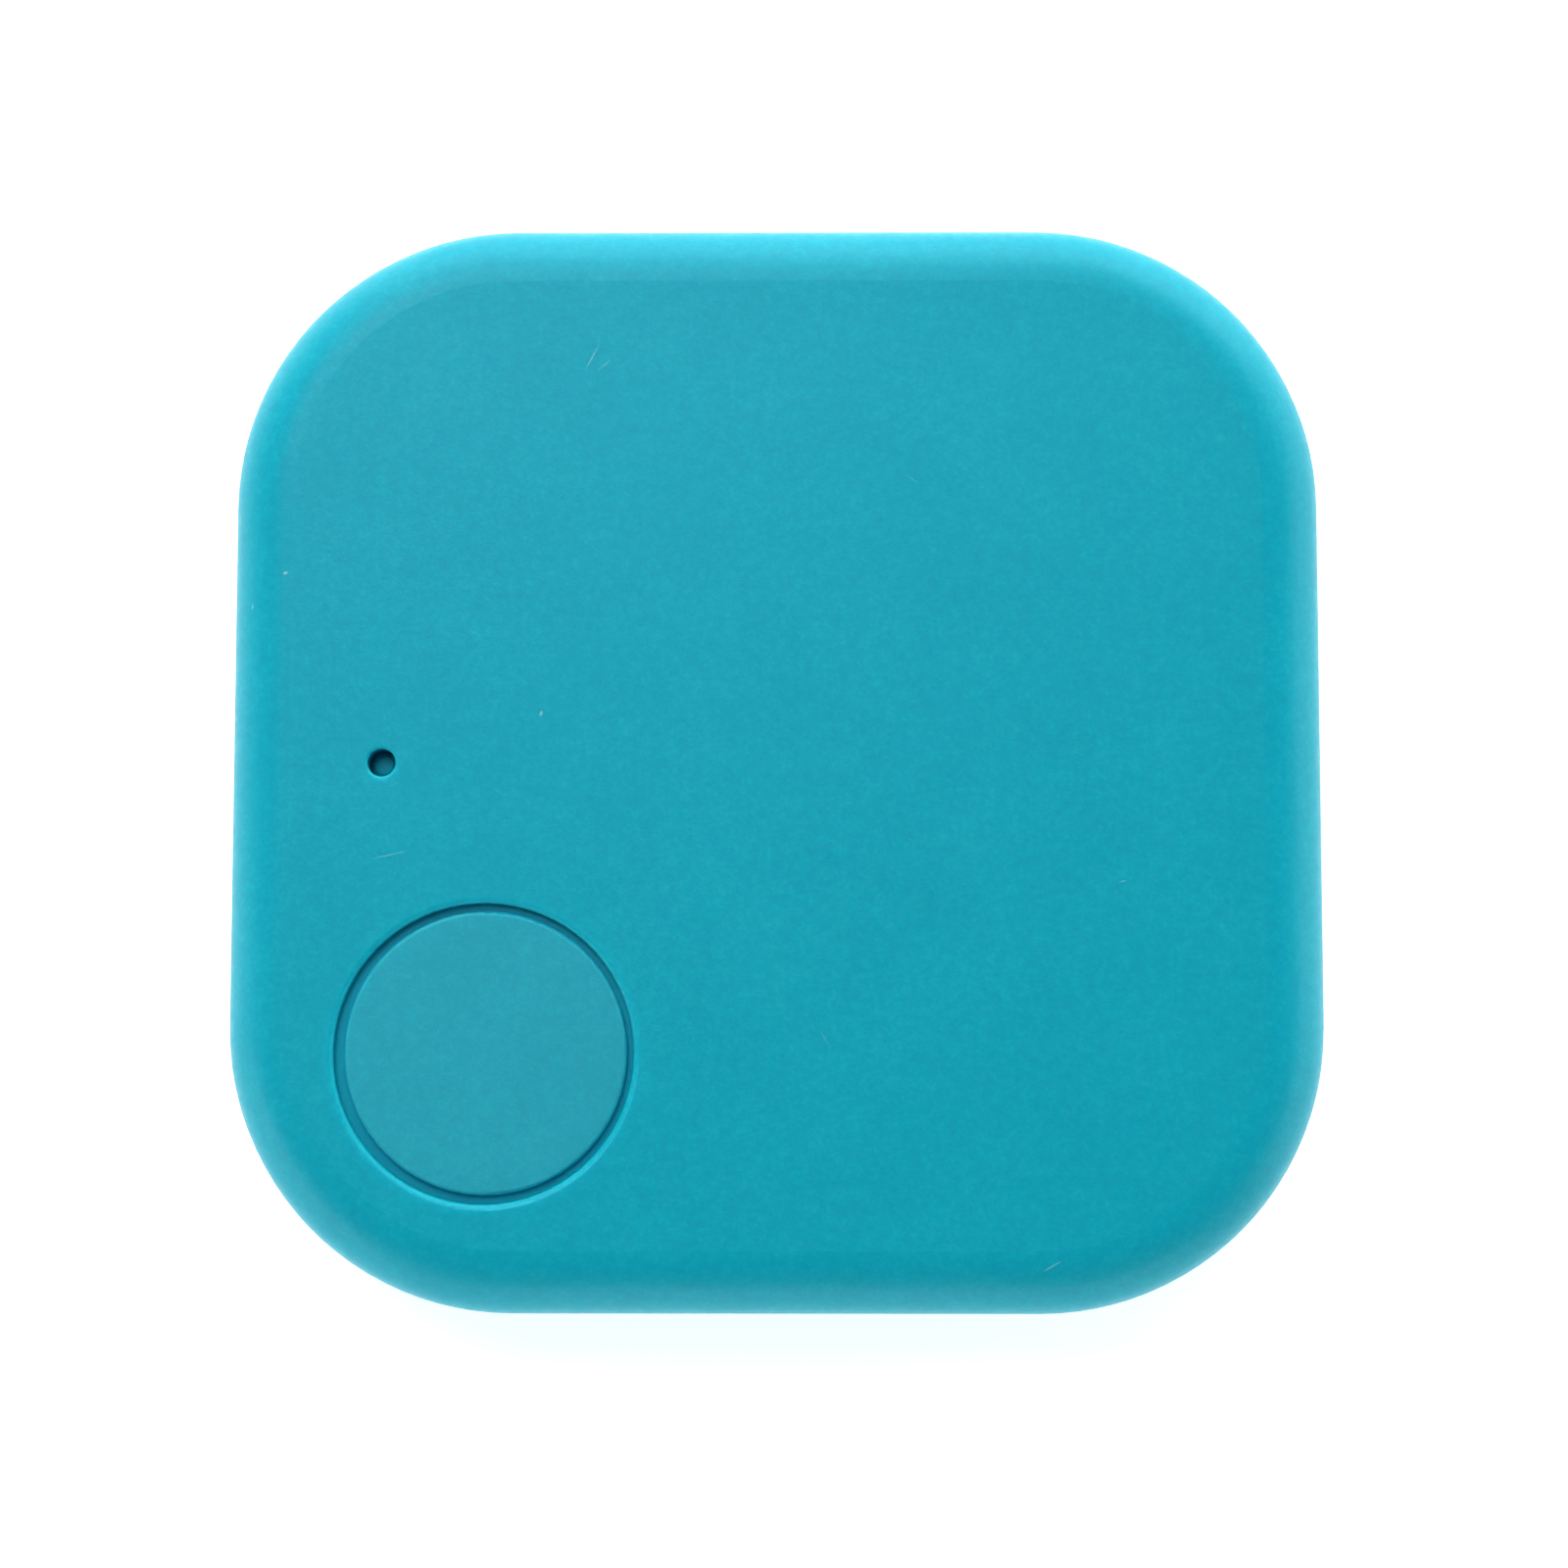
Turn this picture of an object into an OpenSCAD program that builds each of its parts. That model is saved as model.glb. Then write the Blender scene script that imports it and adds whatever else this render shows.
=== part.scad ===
// Square wireless tracker tag: a front shell and a lift-off back cover round a coin cell,
// with a push button, a status light and a sounder.
// The tag lies on its back: +Z points out of the front face, and the button is low on the -X side.
// The origin is the centre of the back face. Millimetres.

/* [Case] */
// Overall width, along X
case_w = 38; // [37.5:0.1:48]
// Overall length, along Y
case_l = 38; // [37.5:0.1:48]
// Overall thickness, along Z
case_h = 7.2; // [7:0.02:10]
// Radius of the four corners, seen from the front
corner_r = 9.9; // [8:0.1:11]
// Rounding of the front edge
front_edge_r = 2.2; // [1:0.1:2.4]
// Rounding of the back edge
back_edge_r = 1.1; // [0.4:0.1:1.5]
// Thickness of the front shell's side wall
wall_t = 1.2; // [1:0.02:1.5]
// Thickness of the front face
front_t = 1.1; // [0.8:0.1:1.2]
// Thickness of the back face
floor_t = 1; // [0.8:0.1:1.2]
// Height of the seam between the two halves
seam_h = 2.6; // [2.2:0.1:2.8]
// Rounding of each half's edge at the seam
seam_r = 0.12; // [0.05:0.01:0.25]

/* [Back cover] */
// Thickness of the tongue that enters the front shell
tongue_t = 0.7; // [0.5:0.05:0.9]
// Height of the tongue above the seam
tongue_h = 0.9; // [0.6:0.05:1]
// Clearance between the tongue and the front shell
tongue_gap = 0.1; // [0.06:0.01:0.15]
// Radius of each friction rib on the tongue
rib_r = 0.4; // [0.3:0.05:0.6]
// Clearance left by a friction rib
rib_gap = 0.02; // [0.01:0.01:0.05]
// Height of the collar round the cell
collar_h = 1.4; // [1:0.1:1.6]
// Wall of the collar round the cell
collar_t = 0.7; // [0.5:0.1:1]
// Space between the collar and the cover's own wall
collar_gap = 0.65; // [0.4:0.05:2]
// Width of the notch that a fingernail lifts the cover by
notch_w = 8; // [5:0.5:12]
// Depth of that notch into the wall
notch_depth = 0.9; // [0.5:0.1:1.1]
// Height of that notch
notch_h = 0.7; // [0.4:0.1:1]

/* [Button] */
// Bore in the front face for the button
button_bore_d = 10.3; // [7:0.01:12.5]
// Clearance round the button cap
button_gap = 0.3; // [0.15:0.01:0.4]
// How far the cap sits off the bore's axis, along X
cap_shift_x = 0.07; // [0:0.01:0.1]
// How far the cap sits off the bore's axis, along Y
cap_shift_y = 0.02; // [0:0.01:0.1]
// Distance from the button's axis to the -X side
button_inset_x = 9; // [8.5:0.1:11]
// Distance from the button's axis to the -Y side
button_inset_y = 8.9; // [8.5:0.1:11]
// How far the cap sits below the front face
button_recess = 0.15; // [0:0.01:0.2]
// Rounding of the bore's rim
bore_rim_r = 0.2; // [0.05:0.05:0.4]
// Rounding of the cap's edge
cap_edge_r = 0.12; // [0.05:0.01:0.4]
// Thickness of the front face's lip over the cap's flange
button_lip_t = 0.4; // [0.35:0.05:0.6]
// How far the cap's flange stands out past the bore
flange_lap = 0.6; // [0.4:0.1:1]
// Thickness of the cap's flange
flange_t = 0.35; // [0.25:0.05:0.5]
// Travel of the button
button_travel = 0.25; // [0.1:0.05:0.3]
// Radius of the peg under the cap that works the switch
peg_r = 1.5; // [1:0.1:2]

/* [Status light] */
// Hole in the front face over the status light
port_d = 0.96; // [0.6:0.02:1.6]
// Distance from the hole to the -X side
port_inset = 5.4; // [4.8:0.1:7]
// Place of the hole along Y
port_y = -0.1; // [-2:0.1:2]
// How far the light pipe sits below the front face
pipe_recess = 0.8; // [0.2:0.05:0.85]
// Clearance round the light pipe
pipe_gap = 0.03; // [0.01:0.01:0.06]
// Radius of the light pipe's flange
pipe_flange_r = 1.2; // [1:0.1:1.6]

/* [Coin cell] */
// Diameter of the cell
cell_d = 20; // [16:0.01:20.5]
// Height of the cell
cell_h = 3.2; // [2.6:0.01:3.3]
// Radial clearance between the cell and its collar
cell_gap = 0.15; // [0.08:0.01:0.3]
// Thickness of the cell's sheet metal
cell_metal_t = 0.25; // [0.2:0.05:0.3]
// Radial width of the crimped rim outside the cap
cell_rim_w = 1.2; // [1:0.1:1.6]
// Height of the cap above the crimped rim
cap_rise = 0.3; // [0.2:0.05:0.4]
// Height of the cathode pellet
cathode_h = 1.45; // [1:0.05:1.5]
// Thickness of the foam pad under the cell
pad_t = 0.3; // [0.2:0.05:0.5]

/* [Circuit board] */
// Thickness of the board
board_t = 0.8; // [0.6:0.1:1]
// Space between the board's edge and the cover's tongue
board_gap = 0.6; // [0.3:0.05:1]
// Radial space between the cell and the edge of the board's cut-out
bite_gap = 1.2; // [1:0.1:1.6]
// How far the top of the cell stands above the board
cell_rise = 0.5; // [0.4:0.05:0.7]
// Outer diameter of a screw's shank
screw_d = 1.4; // [1.2:0.1:1.8]
// Length of a screw under its head
screw_l = 2.5; // [2.2:0.1:2.7]
// Diameter of a screw's head
screw_head_d = 2.6; // [2.2:0.1:3]
// Height of a screw's head
screw_head_h = 0.8; // [0.6:0.1:1]
// Outer diameter of a screw boss
boss_d = 3.2; // [2.8:0.1:3.6]

/* [Sounder] */
// Diameter of the brass disc
disc_d = 18; // [14:0.5:18]
// Thickness of the brass disc
disc_t = 0.2; // [0.1:0.05:0.25]
// Diameter of the ceramic disc
ceramic_d = 13.5; // [10:0.5:14]
// Height of the ring that the disc is glued to
seat_h = 0.35; // [0.3:0.05:0.4]
// Width of that ring
seat_w = 1; // [0.8:0.1:1.5]
// Diameter of each wire over its insulation
wire_d = 0.44; // [0.4:0.02:0.5]

/* [Hidden] */

$fn = 64;
// How far a cutter runs past the solid it cuts
cut = 1;
// How far a feature is sunk into the wall it grows from
weld = 0.3;

case_colour = [0.13, 0.63, 0.70];
gold_colour = [0.85, 0.65, 0.30];
steel_colour = [0.75, 0.76, 0.78];

// Case interior
inner_w = case_w - 2 * wall_t;
inner_l = case_l - 2 * wall_t;
inner_edge_r = max(front_edge_r - wall_t, 0.3);
ceiling_z = case_h - front_t;
tongue_offset = wall_t + tongue_gap;
cover_wall_t = tongue_offset + tongue_t;
tongue_top_z = seam_h + tongue_h;
tongue_lead_r = 0.25;

// Coin cell
cell_r = cell_d / 2;
collar_r = cell_r + cell_gap + collar_t;
cell_x = case_w / 2 - cover_wall_t - collar_gap - collar_r;
cell_y = case_l / 2 - cover_wall_t - collar_gap - collar_r;
cell_z0 = floor_t + pad_t;
cell_z1 = cell_z0 + cell_h;
can_top_z = cell_z1 - cap_rise;
cap_r = cell_r - cell_rim_w;
gasket_w = 0.3;
can_foot_r = 0.4;
cap_edge_round = 0.3;
pad_r = cell_r - 2;
separator_t = 0.1;
cathode_gap = 0.1;
cathode_z = cell_z0 + cell_metal_t;
separator_z = cathode_z + cathode_h;
anode_z = separator_z + separator_t;

// Circuit board
board_inset = cover_wall_t + board_gap;
board_z1 = cell_z1 - cell_rise;
board_z0 = board_z1 - board_t;
board_left = -case_w / 2 + board_inset;
board_foot = -case_l / 2 + board_inset;
board_head = case_l / 2 - board_inset;
board_right = case_w / 2 - board_inset;
bite_r = cell_r + bite_gap;
horn_trim = 7.5;

// Button and its switch
button_x = -case_w / 2 + button_inset_x;
button_y = -case_l / 2 + button_inset_y;
bore_r = button_bore_d / 2;
cap_outer_r = bore_r - button_gap;
flange_r = bore_r + flange_lap;
guide_gap = 0.25;
guide_t = 0.7;
guide_h = 0.75;
cap_top_z = case_h - button_recess;
flange_gap = 0.05;
lip_z = case_h - button_lip_t;
flange_z1 = lip_z - flange_gap;
flange_z0 = flange_z1 - flange_t;
press_gap = 0.05;
switch_w = 5.2;
switch_base_h = 0.95;
switch_well_z = board_z1 + 0.35;
switch_well_r = 2;
switch_frame_t = 0.15;
frame_z0 = board_z1 + switch_base_h;
frame_z1 = frame_z0 + switch_frame_t;
plunger_r = 1.25;
plunger_flange_r = 1.7;
plunger_gap = 0.06;
plunger_top_z = frame_z1 + 0.4;
dome_spare = 0.01;
dome_h = button_travel + dome_spare;
dome_t = 0.08;
dome_base_r = 1.9;
dome_ball_r = (dome_base_r * dome_base_r + dome_h * dome_h) / (2 * dome_h);
plunger_foot_z = switch_well_z + dome_h + dome_spare;
peg_z = plunger_top_z + press_gap;
pocket_r0 = peg_r + 0.5;
cap_wall_t = 0.8;
pocket_r1 = cap_outer_r - cap_wall_t;
cap_crown_t = 0.5;
pocket_z1 = cap_top_z - cap_crown_t;

// Screws: two in opposite corners of the board, one between the button and the cell
corner_screw_inset = 3.8;
boss_r = boss_d / 2;
button_to_cell = [cell_x - button_x, cell_y - button_y];
button_to_cell_dir = button_to_cell / norm(button_to_cell);
guide_r = flange_r + guide_gap + guide_t;
inner_screw = [button_x, button_y] + button_to_cell_dir * (guide_r + boss_r);
head_screw = [board_left + corner_screw_inset, board_head - corner_screw_inset];
foot_screw = [board_right - corner_screw_inset, board_foot + corner_screw_inset];
SCREWS = [head_screw, foot_screw, inner_screw];
board_hole_gap = 0.15;
boss_hole_extra = 0.15;
slot_w = 0.35;
slot_l = 1.5;
slot_depth = 0.4;

// Parts on the board's two arms
arm_x = (board_left + cell_x - bite_r) / 2;
arm_y = (board_foot + cell_y - bite_r) / 2;
radio_w = 5;
radio_h = 0.85;
radio_at = [arm_x, cell_y];
crystal_size = [3.2, 2.5, 0.7];
crystal_at = [arm_x + 1.7, cell_y - radio_w / 2 - 2];
antenna_size = [6.5, 2, 1];
antenna_at = [head_screw.x + boss_r + 1 + antenna_size.x / 2, board_head - 0.5 - antenna_size.y / 2];
inductor_size = [4, 4, 1.6];
inductor_at = [cell_x, board_foot + 0.6 + inductor_size.y / 2];
bulk_size = [3.2, 2.5, 1.3];
bulk_at = [inductor_at.x - 5.7, board_foot + 0.6 + bulk_size.y / 2];
transistor_at = [inductor_at.x - 5.2, arm_y + 1.9];
diode_at = [inductor_at.x + 4.3, arm_y + 2];
small_chip = [1, 0.5, 0.5];
CAPACITORS = [
    [radio_at.x + 3.3, radio_at.y + 3.3, 90], [radio_at.x - 3.3, radio_at.y - 1.2, 90],
    [radio_at.x - 3.3, radio_at.y + 1.2, 90], [radio_at.x - 1.2, radio_at.y + 3.4, 0],
    [radio_at.x + 1.2, radio_at.y + 3.4, 0], [crystal_at.x - 2.2, crystal_at.y - 0.2, 90],
    [crystal_at.x, crystal_at.y - 1.9, 0], [inductor_at.x - 2.9, inductor_at.y, 90],
    [inductor_at.x + 2.8, inductor_at.y - 0.9, 90], [antenna_at.x, antenna_at.y - 1.8, 90]
];
RESISTORS = [
    [antenna_at.x + 1.2, antenna_at.y - 1.8, 90], [radio_at.x - 3.3, radio_at.y + 3.4, 0],
    [diode_at.x + 2, diode_at.y, 90], [diode_at.x, diode_at.y - 1.5, 0],
    [crystal_at.x + 1, crystal_at.y - 3.2, 0], [crystal_at.x - 1, crystal_at.y - 3.2, 0]
];
TEST_PADS = [for (i = [0:5]) [arm_x, cell_y - 6 + 2 * i]];
test_pad_r = 0.6;
test_pad_t = 0.04;
end_cap_l = 0.22;
end_cap_lap = 0.03;

// Status light
port_x = -case_w / 2 + port_inset;
port_rim_r = 0.1;
led_size = [0.8, 1.6, 0.35];
lens_size = [0.8, 1.1, 0.3];
led_gap = 0.15;
pipe_flange_t = 0.4;
pipe_foot_r = 0.8;
pipe_collar_t = 0.6;
pipe_collar_h = 0.8;
pipe_foot_z = board_z1 + led_size.z + lens_size.z + led_gap;
pipe_top_z = case_h - pipe_recess;
pipe_dome_h = 0.12;

// Cell contacts
leaf_t = 0.15;
leaf_w = 3.6;
leaf_clear_z = cell_z1 + leaf_t;
leaf_touch_gap = 0.01;
leaf_slot_w = 0.7;
side_leaf_w = 2.6;
side_leaf_angle = 155;
side_leaf_z = seam_h + 0.05;
side_touch_gap = 0.03;

// Sounder, hung under the front face over the cell
disc_r = disc_d / 2;
ceramic_r = ceramic_d / 2;
ceramic_t = 0.18;
electrode_margin = 0.4;
electrode_t = 0.04;
adhesive_t = 0.08;
seat_z = ceiling_z - seat_h;
disc_z1 = seat_z - adhesive_t;
disc_z0 = disc_z1 - disc_t;
ceramic_z0 = disc_z0 - ceramic_t;
electrode_z0 = ceramic_z0 - electrode_t;
wire_sides = 8;
wire_steps = 20;
wire_pad_x = cell_x - bite_r - 1.3;
solder_r = 0.5;
solder_h = 0.4;
wire_z = (electrode_z0 + cell_z1) / 2;
wire_drop_x = cell_x - cell_r - wire_d / 2;
red_from = [cell_x - ceramic_r + 1.6, cell_y - 1.4, wire_z];
red_to = [wire_pad_x, cell_y - 1, board_z1 + wire_d / 2];
black_from = [cell_x - disc_r + 1.2, cell_y + 1.6, wire_z];
black_to = [wire_pad_x, cell_y + 1, board_z1 + wire_d / 2];

// Ribs on the front shell's wall that the board's edge rests against
stop_rib_w = 1;
stop_lap = 0.3;
stop_l = tongue_gap + tongue_t + board_gap + stop_lap;
RIBS_X = [[-1, -2.6], [-1, cell_y + 4.5], [1, board_foot + 8]];
RIBS_Y = [[-1, -2.4], [-1, cell_x + 3.6], [1, antenna_at.x + 1]];

// What a square corner of radius r loses when it is rounded
module corner_waste(r) {
    difference() {
        square(r + cut);
        circle(r);
    }
}

// Half section of a slab's rim, r wide, with its outer corners rounded
module rim_section(r, z0, z1, top_r, foot_r) {
    difference() {
        translate([0, z0]) square([r, z1 - z0]);
        if (top_r > 0) translate([r - top_r, z1 - top_r]) corner_waste(top_r);
        if (foot_r > 0) translate([r - foot_r, z0 + foot_r]) mirror([0, 1]) corner_waste(foot_r);
    }
}

// Slab with round corners, and with its upper and lower edges rounded
module rounded_slab(w, l, r, z0, z1, top_r = 0, foot_r = 0) {
    for (i = [0:3]) {
        across = i % 2 == 0 ? w : l;
        along = i % 2 == 0 ? l : w;
        rotate([0, 0, 90 * i]) translate([across / 2 - r, along / 2 - r, 0]) {
            rotate_extrude(angle = 90) rim_section(r, z0, z1, top_r, foot_r);
            rotate([90, 0, 0]) linear_extrude(along - 2 * r) rim_section(r, z0, z1, top_r, foot_r);
        }
    }
    translate([r - w / 2, r - l / 2, z0]) cube([w - 2 * r, l - 2 * r, z1 - z0]);
}

// The slab that is left when the case's outline is moved inwards by offset_in
module case_slab(offset_in, z0, z1, top_r = 0, foot_r = 0) {
    inset = 2 * offset_in;
    rounded_slab(case_w - inset, case_l - inset, corner_r - offset_in, z0, z1, top_r, foot_r);
}

module ring(outer_r, inner_r, z0, z1) {
    rotate_extrude() translate([inner_r, z0]) square([outer_r - inner_r, z1 - z0]);
}

// Cutter for a hole from below up to z1, with a rounded rim there
module rimmed_hole(r, z0, z1, rim_r) {
    rotate_extrude() {
        translate([0, z0]) square([r, z1 + cut - z0]);
        difference() {
            translate([0, z1 - rim_r]) square([r + rim_r, rim_r + cut]);
            translate([r + rim_r, z1 - rim_r]) circle(rim_r);
        }
    }
}

module block(size, at, z) {
    translate([at.x - size.x / 2, at.y - size.y / 2, z]) cube(size);
}

module at_button() {
    translate([button_x, button_y, 0]) children();
}

module at_cell() {
    translate([cell_x, cell_y, 0]) children();
}

module at_port() {
    translate([port_x, port_y, 0]) children();
}

module front_shell() {
    color(case_colour) difference() {
        union() {
            difference() {
                case_slab(0, seam_h, case_h, front_edge_r, seam_r);
                case_slab(wall_t, seam_h - cut, ceiling_z, inner_edge_r);
            }
            for (p = SCREWS) translate([p.x, p.y, board_z1])
                cylinder(d = boss_d, h = ceiling_z + weld - board_z1);
            at_button() ring(guide_r, guide_r - guide_t, ceiling_z - guide_h, ceiling_z + weld);
            at_cell() ring(disc_r + seat_w / 2, disc_r - seat_w / 2, seat_z, ceiling_z + weld);
            at_port() ring(pipe_flange_r + pipe_gap + pipe_collar_t, pipe_flange_r + pipe_gap,
                ceiling_z - pipe_collar_h, ceiling_z + weld);
            stop_ribs();
        }
        at_button() rimmed_hole(bore_r, ceiling_z - cut, case_h, bore_rim_r);
        // Room for the cap's flange, under a thin lip round the bore
        at_button() translate([0, 0, ceiling_z - guide_h])
            cylinder(r = guide_r - guide_t, h = lip_z - ceiling_z + guide_h);
        at_port() rimmed_hole(port_d / 2, ceiling_z - cut, case_h, port_rim_r);
        for (p = SCREWS) translate([p.x, p.y, board_z1 - cut])
            cylinder(d = screw_d, h = screw_l - board_t + boss_hole_extra + cut);
    }
}

module stop_ribs() {
    rib_h = ceiling_z + weld - board_z1;
    for (rib = RIBS_X) translate([rib[0] * (inner_w / 2 + weld), rib[1] - stop_rib_w / 2, board_z1])
        mirror([rib[0] > 0 ? 1 : 0, 0, 0]) cube([stop_l + weld, stop_rib_w, rib_h]);
    for (rib = RIBS_Y) translate([rib[1] - stop_rib_w / 2, rib[0] * (inner_l / 2 + weld), board_z1])
        mirror([0, rib[0] > 0 ? 1 : 0, 0]) cube([stop_rib_w, stop_l + weld, rib_h]);
}

module back_cover() {
    push_gap_w = 5;
    color(case_colour) difference() {
        union() {
            difference() {
                union() {
                    case_slab(0, 0, seam_h, seam_r, back_edge_r);
                    case_slab(tongue_offset, seam_h - weld, tongue_top_z, tongue_lead_r);
                    friction_ribs();
                }
                case_slab(cover_wall_t, floor_t, tongue_top_z + cut);
            }
            at_cell() ring(collar_r, cell_r + cell_gap, floor_t - weld, floor_t + collar_h);
            cover_ribs();
        }
        // The fingernail notch under the seam, at the middle of the +Y side
        translate([-notch_w / 2, case_l / 2 - notch_depth, seam_h - notch_h])
            cube([notch_w, notch_depth + cut, notch_h + cut]);
        // Gaps in the collar, where the cell can be pushed out
        at_cell() for (a = [45, 225]) rotate([0, 0, a]) translate([0, -push_gap_w / 2, floor_t])
            cube([collar_r + cut, push_gap_w, collar_h + cut]);
    }
}

// Two on each side: each nearly touches the front shell's wall
module friction_ribs() {
    spacing_w = case_w - 2 * corner_r;
    spacing_l = case_l - 2 * corner_r;
    for (side = [-1, 1], end = [-1, 1]) {
        translate([side * (inner_w / 2 - rib_gap - rib_r), end * spacing_l / 3, seam_h])
            cylinder(r = rib_r, h = tongue_h - tongue_lead_r);
        translate([end * spacing_w / 3, side * (inner_l / 2 - rib_gap - rib_r), seam_h])
            cylinder(r = rib_r, h = tongue_h - tongue_lead_r);
    }
}

// Low ribs on the floor, under the board's two arms
module cover_ribs() {
    rib_w = 0.7;
    rib_h = 0.6;
    rib_end = 0.6;
    pitch = 4.5;
    x0 = -case_w / 2 + cover_wall_t - weld;
    y0 = -case_l / 2 + cover_wall_t - weld;
    x1 = cell_x - collar_r - rib_end;
    y1 = cell_y - collar_r - rib_end;
    for (i = [-1:1]) {
        translate([x0, cell_y + pitch * i, floor_t - weld]) cube([x1 - x0, rib_w, rib_h + weld]);
        translate([cell_x + pitch * i, y0, floor_t - weld]) cube([rib_w, y1 - y0, rib_h + weld]);
    }
}

module button_cap() {
    color(case_colour) at_button() translate([cap_shift_x, cap_shift_y, 0]) rotate_extrude() difference() {
        union() {
            rim_section(cap_outer_r, flange_z0, cap_top_z, cap_edge_r, 0);
            translate([0, flange_z0]) square([flange_r, flange_t]);
            translate([0, peg_z]) square([peg_r, flange_z1 - peg_z]);
        }
        translate([pocket_r0, flange_z0 - cut]) square([pocket_r1 - pocket_r0, pocket_z1 - flange_z0 + cut]);
    }
}

module light_pipe() {
    stem_r = port_d / 2 - pipe_gap;
    color("white") at_port() rotate_extrude() {
        translate([0, ceiling_z - weld]) square([stem_r, pipe_top_z - pipe_dome_h - ceiling_z + weld]);
        polygon([[0, pipe_top_z - pipe_dome_h - weld], [stem_r, pipe_top_z - pipe_dome_h - weld],
            [stem_r, pipe_top_z - pipe_dome_h], [stem_r * 0.7, pipe_top_z - pipe_dome_h * 0.3],
            [0, pipe_top_z]]);
        translate([0, ceiling_z - pipe_flange_t]) square([pipe_flange_r, pipe_flange_t]);
        translate([0, pipe_foot_z]) square([pipe_foot_r, ceiling_z - pipe_foot_z]);
    }
}

module circuit_board() {
    color([0.05, 0.30, 0.20]) difference() {
        case_slab(board_inset, board_z0, board_z1);
        at_cell() translate([0, 0, board_z0 - cut]) cylinder(r = bite_r, h = board_t + 2 * cut);
        translate([cell_x, cell_y - horn_trim, board_z0 - cut]) cube([case_w, case_l, board_t + 2 * cut]);
        translate([cell_x - horn_trim, cell_y, board_z0 - cut]) cube([case_w, case_l, board_t + 2 * cut]);
        for (p = SCREWS) translate([p.x, p.y, board_z0 - cut])
            cylinder(d = screw_d + 2 * board_hole_gap, h = board_t + 2 * cut);
    }
}

module pcb_screws() {
    tip_h = 0.4;
    color(steel_colour) for (p = SCREWS) translate([p.x, p.y, board_z0]) difference() {
        rotate_extrude() {
            polygon([[0, 0], [screw_d / 2, 0], [screw_d / 2, screw_l - tip_h], [screw_d / 5, screw_l],
                [0, screw_l]]);
            mirror([0, 1]) rim_section(screw_head_d / 2, 0, screw_head_h, 0.3, 0);
        }
        for (a = [0, 90]) rotate([0, 0, a]) translate([-slot_l / 2, -slot_w / 2, -screw_head_h - cut])
            cube([slot_l, slot_w, slot_depth + cut]);
    }
}

module radio_chip() {
    dot_r = 0.3;
    dot_depth = 0.05;
    color([0.10, 0.10, 0.11]) difference() {
        block([radio_w, radio_w, radio_h], radio_at, board_z1);
        translate([radio_at.x - radio_w / 3, radio_at.y + radio_w / 3, board_z1 + radio_h - dot_depth])
            cylinder(r = dot_r, h = dot_depth + cut);
    }
}

module crystal_can() {
    color(steel_colour) translate([crystal_at.x, crystal_at.y, 0])
        rounded_slab(crystal_size.x, crystal_size.y, 0.45, board_z1, board_z1 + crystal_size.z, 0.12);
}

// A chip with a metal cap on each end, centred on x and y, standing on the board
module end_capped_chip(size, cap_l) {
    block([size.x - 2 * cap_l, size.y - 2 * end_cap_lap, size.z - end_cap_lap], [0, 0], board_z1);
    for (s = [-1, 1]) block([cap_l, size.y, size.z], [s * (size.x - cap_l) / 2, 0], board_z1);
}

module chip_group(places, size) {
    for (p = places) translate([p[0], p[1], 0]) rotate([0, 0, p[2]]) end_capped_chip(size, end_cap_l);
}

module chip_antenna() {
    color([0.90, 0.90, 0.86]) translate([antenna_at.x, antenna_at.y, 0]) end_capped_chip(antenna_size, 0.6);
}

module chip_capacitors() {
    color([0.66, 0.56, 0.42]) chip_group(CAPACITORS, small_chip);
}

module chip_resistors() {
    color([0.12, 0.12, 0.13]) chip_group(RESISTORS, [small_chip.x, small_chip.y, 0.35]);
}

module bulk_capacitor() {
    color([0.68, 0.58, 0.44]) translate([bulk_at.x, bulk_at.y, 0]) end_capped_chip(bulk_size, 0.6);
}

module power_inductor() {
    color([0.20, 0.20, 0.21]) translate([inductor_at.x, inductor_at.y, 0])
        rounded_slab(inductor_size.x, inductor_size.y, 0.8, board_z1, board_z1 + inductor_size.z, 0.15);
}

module driver_transistor() {
    body = [2.9, 1.3, 1];
    leg = [0.4, 0.9, 0.13];
    color([0.10, 0.10, 0.11]) {
        block(body, transistor_at, board_z1 + 0.05);
        for (x = [-0.95, 0.95]) block(leg, [transistor_at.x + x, transistor_at.y - 0.95], board_z1);
        block(leg, [transistor_at.x, transistor_at.y + 0.95], board_z1);
    }
}

module driver_diode() {
    body = [1.7, 1.3, 0.9];
    leg = [0.6, 0.35, 0.13];
    color([0.10, 0.10, 0.11]) {
        block(body, diode_at, board_z1 + 0.05);
        for (s = [-1, 1]) block(leg, [diode_at.x + s, diode_at.y], board_z1);
    }
}

module test_pads() {
    color(gold_colour) for (p = TEST_PADS) translate([p.x, p.y, board_z0 - test_pad_t])
        cylinder(r = test_pad_r, h = test_pad_t);
}

module led_base() {
    color("white") block(led_size, [port_x, port_y], board_z1);
}

module led_lens() {
    color([0.95, 0.95, 0.80]) block(lens_size, [port_x, port_y], board_z1 + led_size.z);
}

module switch_base() {
    color([0.12, 0.12, 0.13]) at_button() difference() {
        block([switch_w, switch_w, switch_base_h], [0, 0], board_z1);
        translate([0, 0, switch_well_z]) cylinder(r = switch_well_r, h = switch_base_h + cut);
    }
}

module switch_terminals() {
    foot = [0.8, 0.7, 0.12];
    riser = [0.12, 0.7, 0.4];
    color(steel_colour) at_button() for (sx = [-1, 1], sy = [-1, 1]) {
        block(foot, [sx * (switch_w + foot.x) / 2, sy * 1.85], board_z1);
        block(riser, [sx * (switch_w + riser.x) / 2, sy * 1.85], board_z1);
    }
}

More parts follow.
